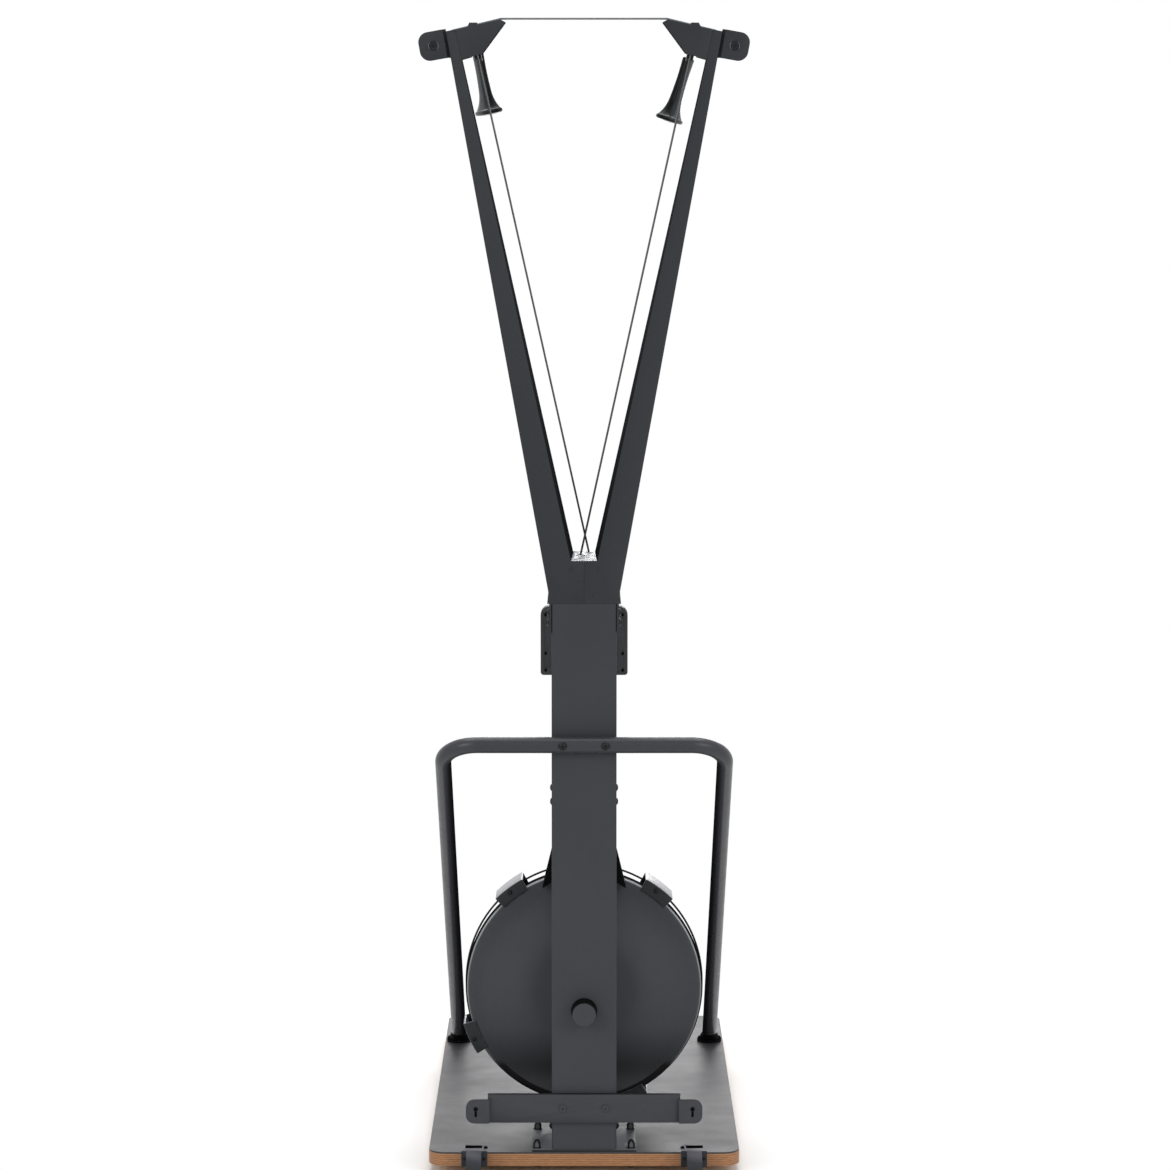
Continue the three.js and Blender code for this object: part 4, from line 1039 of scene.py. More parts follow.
def sweep(
    points: Sequence[Vector], radius: float, sides: int = 12, closed: bool = False, into: Shape | None = None
) -> Shape:
    """A round bar along a route, with UVs in metres round and along it.

    Args:
        points: the route.
        radius: the bar's radius.
        sides: the steps round the bar.
        closed: whether the route's end meets its start.
        into: a mesh to add to, or none for a new one.

    Returns:
        The mesh.
    """
    shape = into or bmesh.new()
    layer = shape.loops.layers.uv.verify()
    route = [Vector(point) for point in points]
    count = len(route)
    tangents = []
    for k in range(count):
        before = route[k - 1] if (closed or k) else route[k]
        after = route[(k + 1) % count] if (closed or k < count - 1) else route[k]
        tangents.append((after - before).normalized())
    side = tangents[0].orthogonal().normalized()
    rings, along = [], [0.0]
    for k, tangent in enumerate(tangents):
        side = (side - tangent * side.dot(tangent)).normalized()
        other = tangent.cross(side)
        offsets = [side * math.cos(angle) + other * math.sin(angle) for angle in turns(sides)]
        rings.append([shape.verts.new(route[k] + offset * radius) for offset in offsets])
        if k:
            along.append(along[-1] + (route[k] - route[k - 1]).length)
    for k in range(count if closed else count - 1):
        low, high = rings[k], rings[(k + 1) % count]
        near, far = along[k], along[k + 1] if k + 1 < count else along[k] + (route[0] - route[k]).length
        for step in range(sides):
            after = (step + 1) % sides
            face = shape.faces.new([low[step], low[after], high[after], high[step]])
            shares = [step / sides, (step + 1) / sides, (step + 1) / sides, step / sides]
            for loop, share, run in zip(face.loops, shares, [near, near, far, far]):
                loop[layer].uv = (share * 2 * math.pi * radius, run)
    if not closed:
        shape.faces.new(list(reversed(rings[0])))
        shape.faces.new(rings[-1])
    return shape


def rounded_route(corners: Sequence[Vector], radius: float, steps: int) -> list[Vector]:
    """A route whose inner corners are arcs of one radius.

    Args:
        corners: the route's ends and corners.
        radius: the arcs' radius.
        steps: the steps of an arc.

    Returns:
        The route's points.
    """
    route = [Vector(corners[0])]
    for before, corner, after in zip(corners, corners[1:], corners[2:]):
        into = (Vector(corner) - Vector(before)).normalized()
        away = (Vector(after) - Vector(corner)).normalized()
        turn = into.angle(away)
        side = (away - into * away.dot(into)).normalized()
        start = Vector(corner) - into * radius * math.tan(turn / 2)
        for k in range(steps + 1):
            angle = turn * k / steps
            route.append(start + into * radius * math.sin(angle) + side * radius * (1 - math.cos(angle)))
    route.append(Vector(corners[-1]))
    return route


def rounded_loop(width: float, height: float, radius: float, steps: int = 8) -> list[Point]:
    """The corner points of a rounded rectangle about zero.

    Args:
        width: its width.
        height: its height.
        radius: its corners' radius.
        steps: the steps of a corner.

    Returns:
        The outline's points.
    """
    points = []
    for quarter, (x, y) in enumerate(((1, 1), (-1, 1), (-1, -1), (1, -1))):
        for k in range(steps + 1):
            angle = math.pi / 2 * (quarter + k / steps)
            across = x * (width / 2 - radius) + radius * math.cos(angle)
            points.append((across, y * (height / 2 - radius) + radius * math.sin(angle)))
    return points


class Scatter:
    """A Geometry Nodes tree that repeats a small template over many places."""

    def __init__(self) -> None:
        """Builds the tree."""
        self.tree = bpy.data.node_groups.new("scatter", "GeometryNodeTree")
        interface = self.tree.interface
        for name, kind in (("Places", "Geometry"), ("Template", "Object"), ("Finish", "Material")):
            interface.new_socket(name, in_out="INPUT", socket_type=f"NodeSocket{kind}")
        interface.new_socket("Pieces", in_out="OUTPUT", socket_type="NodeSocketGeometry")
        self.sockets = {item.name: item.identifier for item in interface.items_tree}
        nodes = Nodes(self.tree)
        entry = nodes.add("NodeGroupInput").outputs
        turn = nodes.add("GeometryNodeInputNamedAttribute", {"Name": "turn"}, data_type="FLOAT_VECTOR")
        rotation = nodes.add("FunctionNodeEulerToRotation", {0: turn.outputs["Attribute"]}).outputs[0]
        model = nodes.add("GeometryNodeObjectInfo", {"Object": entry["Template"]}).outputs["Geometry"]
        copies = {"Points": entry["Places"], "Instance": model, "Rotation": rotation}
        copied = nodes.add("GeometryNodeInstanceOnPoints", copies).outputs[0]
        real = nodes.add("GeometryNodeRealizeInstances", {0: copied}).outputs[0]
        coat = nodes.add("GeometryNodeSetMaterial", {"Geometry": real, "Material": entry["Finish"]})
        nodes.add("NodeGroupOutput", {0: coat.outputs[0]})


class Workshop:
    """Turns shapes into named pieces on their bodies."""

    def __init__(self) -> None:
        """Starts with no material made."""
        self.materials: dict[Finish, bpy.types.Material] = {}
        self.scatter = Scatter()

    def material(self, finish: Finish) -> bpy.types.Material:
        """The material of a finish, which is made once.

        Args:
            finish: the finish.

        Returns:
            The material.
        """
        if finish not in self.materials:
            self.materials[finish] = COATINGS[finish].make()
        return self.materials[finish]

    @staticmethod
    def mesh_of(shape: Shape, name: str) -> bpy.types.Mesh:
        """The mesh of a shape, with its faces pointing out; the shape is used up.

        Args:
            shape: the shape.
            name: the mesh's name.

        Returns:
            The mesh.
        """
        bmesh.ops.recalc_face_normals(shape, faces=shape.faces)
        mesh = bpy.data.meshes.new(name)
        shape.to_mesh(mesh)
        shape.free()
        return mesh

    @staticmethod
    def evaluated(holder: bpy.types.Object) -> bpy.types.Mesh:
        """A holder's mesh with its modifiers worked in.

        Args:
            holder: the object that has the modifiers.

        Returns:
            The mesh.
        """
        graph = bpy.context.evaluated_depsgraph_get()
        graph.update()
        return bpy.data.meshes.new_from_object(
            holder.evaluated_get(graph), preserve_all_data_layers=True, depsgraph=graph
        )

    def settle(self, mesh: bpy.types.Mesh, edges: Edges) -> bpy.types.Mesh:
        """Rounds a mesh's sharp edges and shades it smooth between them.

        Args:
            mesh: the mesh to finish.
            edges: how its edges are finished.

        Returns:
            The finished mesh.
        """
        mesh.shade_smooth()
        if not edges.width:
            mesh.set_sharp_from_angle(angle=math.radians(edges.sharp))
            return mesh
        holder = bpy.data.objects.new("settling", mesh)
        bpy.context.scene.collection.objects.link(holder)
        rounding = holder.modifiers.new("rounding", "BEVEL")
        rounding.width = edges.width
        rounding.segments = edges.steps
        rounding.limit_method = "ANGLE"
        rounding.angle_limit = math.radians(edges.sharp)
        rounding.harden_normals = True
        done = self.evaluated(holder)
        bpy.data.objects.remove(holder)
        return done

    def dress(self, mesh: bpy.types.Mesh, tag: Tag) -> bpy.types.Object:
        """Makes the piece of a mesh with its material, and hides the CAD node that it stands for, if any.

        Args:
            mesh: the finished mesh.
            tag: the piece's name, finish, body and node.

        Returns:
            The piece.
        """
        mesh.materials.clear()
        mesh.materials.append(self.material(tag.finish))
        piece = bpy.data.objects.new(tag.name, mesh)
        bpy.context.scene.collection.objects.link(piece)
        if tag.node:
            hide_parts(tag.node)
        LOG.info("%s on %s", tag.name, tag.body)
        return piece

    def build(self, shape: Shape, tag: Tag, edges: Edges = Edges()) -> None:
        """Finishes a shape and lets it ride on its body."""
        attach(self.dress(self.settle(self.mesh_of(shape, tag.name), edges), tag), tag.body)

    def refine(self, refit: Refit) -> None:
        """Stands a rounded copy in for a CAD node whose shape is right but whose edges are sharp.

        Args:
            refit: the node, its finish and its rounding.
        """
        shape = bmesh.new()
        shape.from_mesh(frame["nodes"][refit.node].data)
        bmesh.ops.remove_doubles(shape, verts=shape.verts, dist=1e-5)
        bmesh.ops.dissolve_limit(shape, angle_limit=math.radians(0.6), verts=shape.verts, edges=shape.edges)
        self.build(shape, Tag.of(refit.node, refit.finish), Edges(refit.edge, refit.steps))

    def repeat(self, template: Shape, spots: Sequence[Spot], tag: Tag) -> None:
        """Makes one piece of a template at many spots.

        Args:
            template: the shape to repeat, drawn about zero along its own Z axis.
            spots: pairs of a centre and the direction that the template's Z axis takes.
            tag: the finished piece's name, finish and body.
        """
        mesh = self.settle(self.mesh_of(template, "template"), Edges(sharp=35))
        model = bpy.data.objects.new("template", mesh)
        points = bpy.data.meshes.new("places")
        points.from_pydata([tuple(centre) for centre, _ in spots], [], [])
        attribute = points.attributes.new("turn", "FLOAT_VECTOR", "POINT")
        for turn, (_, axis) in zip(attribute.data, spots):
            turn.vector = turn_to(axis).to_euler()
        holder = bpy.data.objects.new("places", points)
        for each in (model, holder):
            bpy.context.scene.collection.objects.link(each)
        nodes = holder.modifiers.new("scatter", "NODES")
        nodes.node_group = self.scatter.tree
        nodes[self.scatter.sockets["Template"]] = model
        nodes[self.scatter.sockets["Finish"]] = self.material(tag.finish)
        done = self.evaluated(holder)
        holder.modifiers.remove(nodes)
        for each in (model, holder):
            bpy.data.objects.remove(each)
        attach(self.dress(done, tag), tag.body)


class Fittings:
    """Shapes of the small turned fittings, with zero at the seat and Z pointing out."""

    @staticmethod
    def turned(profile: Profile, segments: int = 24) -> Shape:
        """A fitting from its profile."""
        return lathe(profile, Matrix.Identity(4), segments)

    @classmethod
    def dome(cls, radius: float = 0.008, height: float = 0.0055) -> Shape:
        """A button-head bolt with a hexagon socket.

        Args:
            radius: the head's radius.
            height: the head's height.

        Returns:
            The mesh.
        """
        socket = radius * 0.46
        head = [
            (radius * math.cos(angle), height * (0.12 + 0.88 * math.sin(angle)))
            for angle in (0, 0.25, 0.5, 0.75, 1.0, 1.2)
        ]
        hollow = [(socket, height * 0.97, 1), (socket, height * 0.45, 1), (0, height * 0.4)]
        return cls.turned([(0, 0.0), (radius, 0.0), *head, (socket * 1.12, height), *hollow])

    @classmethod
    def board_nut(cls) -> Shape:
        """A flat flanged hexagon on a washer.

        Returns:
            The mesh.
        """
        return cls.turned((
            (0, 0.0), (0.0125, 0.0), (0.0125, 0.0016), (0.00928, 0.0019), (0.00928, 0.0032),
            (0.008, 0.0042, 1), (0.008, 0.004, 1), (0.00704, 0.0052), (0, 0.0056),
        ))

    @classmethod
    def cap_nut(cls) -> Shape:
        """A domed nut on a flared washer.

        Returns:
            The mesh.
        """
        radius, foot = 0.0056, 0.0122
        quarter = [math.pi * k / 14 for k in range(7)]
        dome = [(radius * math.cos(angle), foot + radius * math.sin(angle)) for angle in quarter]
        return cls.turned((
            (0, 0.0), (0.0086, 0.0), (0.0088, 0.0012), (0.0068, 0.002), (0.0072, 0.0024, 1),
            (0.0072, 0.0094, 1), *dome, (0, foot + radius),
        ))

    @classmethod
    def bushing(cls) -> Shape:
        """A recessed screw in a rubber ring.

        Returns:
            The mesh.
        """
        return cls.turned((
            (0, -0.0012), (0.0024, -0.0012, 1), (0.0026, 0.0004, 1), (0.004, 0.0005), (0.0044, -0.0006),
            (0.0058, -0.0008), (0.0064, 0.0004), (0.007, 0.0011), (0.0082, 0.001), (0.009, 0.0002),
            (0.009, 0.0), (0, -0.0016),
        ), 32)

    @classmethod
    def rim(cls, radius: float, wire: float) -> Shape:
        """A thin round wire ring."""
        section = [2 * math.pi * k / 12 for k in range(13)]
        return cls.turned([(radius + wire * math.cos(a), wire * math.sin(a)) for a in section], 40)

    @classmethod
    def pan(cls, radius: float, height: float) -> Shape:
        """A small pan-head screw with a socket.

        Args:
            radius: the head's radius.
            height: the head's height.

        Returns:
            The mesh.
        """
        return cls.turned((
            (0, 0.0), (radius, 0.0), (radius, height * 0.45), (radius * 0.86, height * 0.86),
            (radius * 0.6, height), (radius * 0.36, height, 1), (radius * 0.3, height * 0.3, 1),
            (0, height * 0.25),
        ), 18)


@dataclass(frozen=True)
class CordLine:
    """One side's pull cord: over the leaning sheave in the head and down to the handle.

    Attributes:
        side: -1 on the left and 1 on the right.
        lean: how far the handle leans, in degrees.
        drop: how far the handle's top hangs below the sheave's middle.
        eye: where the cord passes the guide plate, as X and Y.
        middle: the sheave's middle on the right-hand side.
        tilt: how far the sheave leans, in radians.
        wrap: the radius of the cord's line on the sheave.
        forward: how far the handle hangs in front of the sheave's middle.
    """

    side: int
    lean: float
    drop: float
    eye: tuple[float, float]
    middle: tuple[float, float, float] = (0.206, -0.52136, 2.1659)
    tilt: float = math.radians(12.4)
    wrap: float = 0.0316
    forward: float = 0.0495

    def point(self, forward: float, up: float) -> Vector:
        """A place in the sheave's leaning plane, counted from its middle.

        Args:
            forward: how far in front of the middle.
            up: how far above it, along the plane.

        Returns:
            The place.
        """
        x, y, z = self.middle
        across, rise = up * math.sin(self.tilt), up * math.cos(self.tilt)
        return Vector((self.side * (x + across), y + forward, z + rise))

    def on_sheave(self, angle: float) -> Vector:
        """A place of the cord on the sheave."""
        return self.point(self.wrap * math.cos(angle), self.wrap * math.sin(angle))

    @property
    def top(self) -> Vector:
        """The handle's top."""
        return self.point(self.forward, -self.drop)

    @property
    def leave(self) -> float:
        """The angle at which the cord leaves the sheave for the handle."""
        reach = math.hypot(self.forward, self.drop)
        return math.acos(self.wrap / reach) - math.atan2(self.drop, self.forward)

    @property
    def arrive(self) -> float:
        """The angle at which the cord comes up to the sheave from the guide plate."""
        _, y, z = self.middle
        return math.pi + math.atan2(self.eye[1] - y + self.wrap, z - GUIDE_TOP)


CORD_LINES = {
    "left": CordLine(-1, 10.8, 0.005, (0.0095, -0.43936)),
    "right": CordLine(1, 17.8, 0.023, (-0.007, -0.48936)),
}


@dataclass(frozen=True)
class Group(ABC):
    """A sub-assembly, whose fields are its sizes in metres."""

    shop: Workshop
    REFITS: ClassVar[tuple[Refit, ...]] = ()

    def make(self) -> None:
        """Rounds the CAD pieces that keep their shape, then makes the rest."""
        for refit in self.REFITS:
            self.shop.refine(refit)
        self.build()

    @abstractmethod
    def build(self) -> None:
        """Makes the pieces whose shape the scene gives."""


@dataclass(frozen=True)
class Platform(Group):
    """The plywood board, its mat, its feet and two pegs in the mat."""

    width: float = 0.6
    length: float = 1.27
    corner: float = 0.035
    board_low: float = 0.018
    board_high: float = 0.042
    board_edge: float = 0.0014
    mat_gap: float = 0.0002
    mat_inset: float = 0.0004
    mat_edge: float = 0.0009
    foot: Profile = (
        (0, 0), (0.016, 0), (0.017, 0.0012), (0.021, 0.0012), (0.022, 0), (0.027, 0), (0.028, 0.001),
        (0.028, 0.003), (0.0262, 0.006), (0.0262, 0.0075), (0.0252, 0.0085), (0.024, 0.0165),
        (0.023, 0.0177), (0, 0.0177),
    )
    peg_radius: float = 0.0042
    peg_height: float = 0.0036
    peg_aside: float = 0.1905
    peg_forward: float = 0.035
    peg_lift: float = 0.0001

    def board(self, node: str, low: float, high: float, inset: float, finish: Finish, edge: float) -> None:
        """Makes the board or the mat, as a slab with round corners.

        Args:
            node: the CAD node that it stands for.
            low: its lower height.
            high: its upper height.
            inset: how far it stays inside the platform's outline.
            finish: its finish.
            edge: the width of its edges' rounding.
        """
        loop = rounded_loop(self.width - 2 * inset, self.length - 2 * inset, self.corner - inset, 14)
        middle = Matrix.Translation((0, REAR + self.length / 2, 0))
        self.shop.build(prism(loop, low, high, middle), Tag.of(node, finish), Edges(edge, 3, 40))

    def build(self) -> None:
        """Makes the board, the mat, the feet and the pegs."""
        self.board("deck_board", self.board_low, self.board_high, 0, Finish.PLYWOOD, self.board_edge)
        mat_low = self.board_high + self.mat_gap
        self.board("deck_mat", mat_low, DECK_TOP, self.mat_inset, Finish.MAT, self.mat_edge)
        for node in (f"foot_{end}_{hand}" for end in ("rear", "front") for hand in HANDS):
            centre = middle_of(node)
            place = turned_frame((centre.x, centre.y, 0), UP)
            self.shop.build(lathe(self.foot, place, 48), Tag.of(node, Finish.RUBBER))
        pegs = pair(self.peg_aside, REAR + self.peg_forward, DECK_TOP + self.peg_lift, UP)
        self.shop.repeat(Fittings.dome(self.peg_radius, self.peg_height), pegs, Tag("mat_pegs", Finish.DEEP))


@dataclass(frozen=True)
class Column(Group):
    """The box column on its foot plate, and the plate's nuts."""

    REFITS = (Refit("base_plate", Finish.BASE, 0.0012),)
    width: float = 0.124
    wall: float = 0.003
    outer_corner: float = 0.0045
    inner_corner: float = 0.0022
    low: float = 0.0499
    high: float = 1.1069
    nut_aside: float = 0.091
    nut_rows: tuple[float, float] = (0.0165, 0.172)
    nut_seat: float = 0.04958
    board_nut_seat: float = 0.0179

    def build(self) -> None:
        """Makes the hollow box and the nuts."""
        depth = COLUMN_FRONT - COLUMN_REAR
        place = Matrix.Translation((0, COLUMN_REAR + depth / 2, 0))
        outer = rounded_loop(self.width, depth, self.outer_corner, 6)
        inner = rounded_loop(self.width - 2 * self.wall, depth - 2 * self.wall, self.inner_corner, 6)
        shape = bmesh.new()
        stations = ((outer, self.low), (outer, self.high), (inner, self.high), (inner, self.low))
        rings = [ring_of(shape, loop, height, place) for loop, height in stations]
        for low, high in zip(rings, rings[1:] + rings[:1]):
            bridge(shape, low, high)
        self.shop.build(shape, Tag.of("column", Finish.COLUMN), Edges(sharp=45))
        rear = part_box("base_plate")[0].y
        # the cap nuts' steel has a painted highlight on the side that looks at the wall
        for name, finish, nut, seat, axis in (
            ("base_nuts", Finish.NUT, Fittings.cap_nut(), self.nut_seat, UP),
            ("board_nuts", Finish.BOLT, Fittings.board_nut(), self.board_nut_seat, DOWN),
        ):
            spots = [spot for row in self.nut_rows for spot in pair(self.nut_aside, rear + row, seat, axis)]
            self.shop.repeat(nut, spots, Tag(name, finish))


@dataclass(frozen=True)
class Fork(Group):
    """The two arms, the pale cord guide between them, and the trim and screws where they meet the column."""

    REFITS = (
        Refit("arm_left", Finish.FORK, 0.0012), Refit("arm_right", Finish.FORK, 0.0012),
        Refit("guide_plate", Finish.PALE),
    )
    strip_width: float = 0.02
    strip_height: float = 0.07
    strip_corner: float = 0.002
    strip_depth: float = 0.0012
    strip_middle: float = 1.1455
    strip_rear_inset: float = 0.0054
    strip_front_inset: float = 0.0042
    eyelet: Profile = (
        (0.0066, -0.002), (0.0066, 0.0002), (0.0074, 0.0011), (0.0088, 0.0009), (0.0095, 0.0001),
        (0.0095, -0.0002), (0.0069, -0.002), (0.0066, -0.002),
    )
    screw_radius: float = 0.0048
    screw_height: float = 0.0008
    screws: tuple[Point, ...] = ((-0.0249, 1.1743), (0.0298, 1.1724), (-0.0172, 1.122), (0.0204, 1.123))

    def build(self) -> None:
        """Makes the seam strips, the guide's eyelets and the screws."""
        loop = rounded_loop(self.strip_width, self.strip_height, self.strip_corner, 3)
        strips = bmesh.new()
        for y in (COLUMN_REAR + self.strip_rear_inset, COLUMN_FRONT - self.strip_front_inset):
            prism(loop, 0, self.strip_depth, upright(0, y, self.strip_middle), strips)
        self.shop.build(strips, Tag("fork_seam_strips", Finish.DEEP))
        eyelets = bmesh.new()
        for line in CORD_LINES.values():
            lathe(self.eyelet, turned_frame((*line.eye, GUIDE_TOP), UP), 32, eyelets)
        self.shop.build(eyelets, Tag("guide_eyelets", Finish.STEEL))
        spots = [((x, COLUMN_REAR, z), TO_WALL) for x, z in self.screws]
        screw = Fittings.pan(self.screw_radius, self.screw_height)
        self.shop.repeat(screw, spots, Tag("fork_screws", Finish.FORK))


@dataclass(frozen=True)
class Heads(Group):
    """The folded head plates, the sheaves in them and the caps on the arms."""

    REFITS = (Refit("head_left", Finish.FORK, 0.0007), Refit("head_right", Finish.FORK, 0.0007))
    sheave: Profile = (
        (0.0, 0.016), (0.0035, 0.016), (0.004, 0.0155), (0.004, 0.0095), (0.0105, 0.0095), (0.0105, 0.006),
        (0.0265, 0.0046), (0.03, 0.0062), (0.0352, 0.0064), (0.036, 0.0058), (0.036, 0.0048),
        (0.0312, 0.0026), (0.0295, 0.0017), (0.029, 0.0),
    )
    cap_seat: float = 2.1859
    cap_inner: float = 0.2414
    cap_outer: float = 0.2588
    cap_inner_rise: float = 0.0042
    cap_outer_rise: float = 0.0006
    cap_depth: float = 0.062
    cap_edge: float = 0.0004

    def build(self) -> None:
        """Makes the sheaves and the caps."""
        for hand, line in CORD_LINES.items():
            axis = (math.cos(line.tilt), 0, -line.side * math.sin(line.tilt))
            shape = lathe(both_ways(self.sheave), turned_frame(line.point(0, 0), axis), 72)
            self.shop.build(shape, Tag.of(f"head_sheave_{hand}", Finish.PLASTIC), Edges(sharp=28))
        wedge = (
            (self.cap_inner, self.cap_seat), (self.cap_outer, self.cap_seat),
            (self.cap_outer, self.cap_seat + self.cap_outer_rise),
            (self.cap_inner, self.cap_seat + self.cap_inner_rise),
        )
        caps = bmesh.new()
        for side in HANDS.values():
            prism([(side * x, z) for x, z in wedge], -self.cap_depth, 0, upright(0, COLUMN_REAR, 0), caps)
        self.shop.build(caps, Tag("arm_caps", Finish.FORK), Edges(self.cap_edge))


@dataclass(frozen=True)
class Cords(Group):
    """The drive cords from the drums over the sheaves, and the cord across the heads."""

    drum_aside: float = 0.0323
    sheave_steps: int = 40
    run_steps: int = 8
    cross_radius: float = 0.0019
    cross_end: float = 0.25021
    cross_lip: float = 0.156
    cross_slope: float = 0.2395
    cross_bend: float = 0.005
    cross_foot: float = 0.001
    cross_crest: float = 0.0021

    def build(self) -> None:
        """Makes the three cords."""
        for hand, line in CORD_LINES.items():
            step = (line.arrive - line.leave) / self.sheave_steps
            route = [line.on_sheave(line.leave + step * k) for k in range(self.sheave_steps + 1)]
            eye = Vector((*line.eye, GUIDE_TOP))
            drum = Vector((self.drum_aside, line.eye[1], SHAFT_Z))
            for start, end in ((route[-1], eye), (eye, drum)):
                route += [start.lerp(end, k / self.run_steps) for k in range(1, self.run_steps + 1)]
            tag = Tag.of(f"drive_cord_{hand}", Finish.CORD)
            self.shop.build(sweep(route, CORD_RADIUS, 14), tag, Edges(sharp=50))
        self.cross()

    def cross(self) -> None:
        """Makes the cord that runs from cap to cap, sloping up to each head's lip and level between them."""
        low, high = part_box("cross_cord")
        y = (low.y + high.y) / 2
        crest = high.z - self.cross_crest
        slope = (self.cross_end - self.cross_lip) * self.cross_slope
        half = (
            (self.cross_end, low.z + self.cross_foot), (self.cross_end, crest - slope),
            (self.cross_lip, crest),
        )
        corners = [Vector((x, y, z)) for x, z in half] + [Vector((-x, y, z)) for x, z in reversed(half)]
        shape = sweep(rounded_route(corners, self.cross_bend, 8), self.cross_radius, 12)
        self.shop.build(shape, Tag.of("cross_cord", Finish.CORD), Edges(sharp=50))


@dataclass(frozen=True)
class Handles(Group):
    """The bell-ended grips and the short cords that they hang from."""

    neck: Profile = (
        (0, 0), (0.004, 0), (0.0058, 0.0008), (0.006, 0.002), (0.006, 0.0042), (0.0095, 0.0048),
        (0.0112, 0.0062),
    )
    grip_start: float = 0.009
    grip_length: float = 0.112
    grip_radius: float = 0.0114
    waist: float = 0.0009
    flare: float = 0.0121
    rim_middle: tuple[float, float] = (0.0222, 0.1256)
    rim_radius: float = 0.0046
    hollow: Profile = ((0.012, 0.1314), (0, 0.1318))
    sheave_gap: float = 0.0004
    neck_gap: float = 0.0008

    def grip(self, place: Matrix) -> Shape:
        """A slim round grip with a trumpet bell and a thick rounded rim at its lower end.

        Args:
            place: where the grip goes.

        Returns:
            The mesh.
        """
        rings = list(self.neck)
        for k in range(37):
            share = k / 36
            swell = max(share - 0.45, 0) / 0.55
            waist = self.waist * math.sin(math.pi * min(share / 0.6, 1))
            radius = self.grip_radius - waist + self.flare * swell ** 3.6
            rings.append((radius, self.grip_start + self.grip_length * share))
        radius, height = self.rim_middle
        for angle in map(math.radians, range(24, 181, 12)):
            out, down = self.rim_radius * math.sin(angle), self.rim_radius * math.cos(angle)
            rings.append((radius + out, height - down))
        return lathe((*rings, *self.hollow), place)

    def build(self) -> None:
        """Makes each grip, and the cord that it hangs from."""
        for hand, line in CORD_LINES.items():
            turn = Matrix.Rotation(math.pi + line.side * math.radians(line.lean), 4, "Y")
            grip = self.grip(Matrix.Translation(line.top) @ turn)
            self.shop.build(grip, Tag.of(f"handle_{hand}", Finish.GRIP), Edges(sharp=40))
            hook = line.on_sheave(line.leave)
            run = (line.top - hook).normalized()
            start, end = hook + run * self.sheave_gap, line.top - run * self.neck_gap
            tag = Tag.of(f"handle_cord_{hand}", Finish.CORD)
            mesh = self.shop.mesh_of(sweep([start, end], CORD_RADIUS, 14), tag.name)
            cord = self.shop.dress(self.shop.settle(mesh, Edges(sharp=50)), tag)
            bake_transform(cord)


@dataclass(frozen=True)
class WallTabs(Group):
    """The bent wall tabs, and the screws and rims in them; the rims carry painted glints."""

    REFITS = (Refit("wall_tab_left", Finish.FORK, 0.0008), Refit("wall_tab_right", Finish.FORK, 0.0008))
    screw_aside: float = 0.2823
    screw_height: float = 2.1595
    screw_lift: float = 0.00002
    rim_radius: float = 0.0084
    rim_wire: float = 0.0008
    rim_lift: float = 0.0001

    def build(self) -> None:
        """Makes the screws and the rims round them, with painted glints on the rims' sides."""
        screws = pair(self.screw_aside, REAR - self.screw_lift, self.screw_height, TO_WALL)
        self.shop.repeat(Fittings.bushing(), screws, Tag("wall_tab_screws", Finish.BOLT))
        # the rims' steel has painted glints on the sides that look left and right
        rims = pair(self.screw_aside, REAR - self.rim_lift, self.screw_height, TO_WALL)
        ring = Fittings.rim(self.rim_radius, self.rim_wire)
        self.shop.repeat(ring, rims, Tag("wall_tab_rims", Finish.RIM))


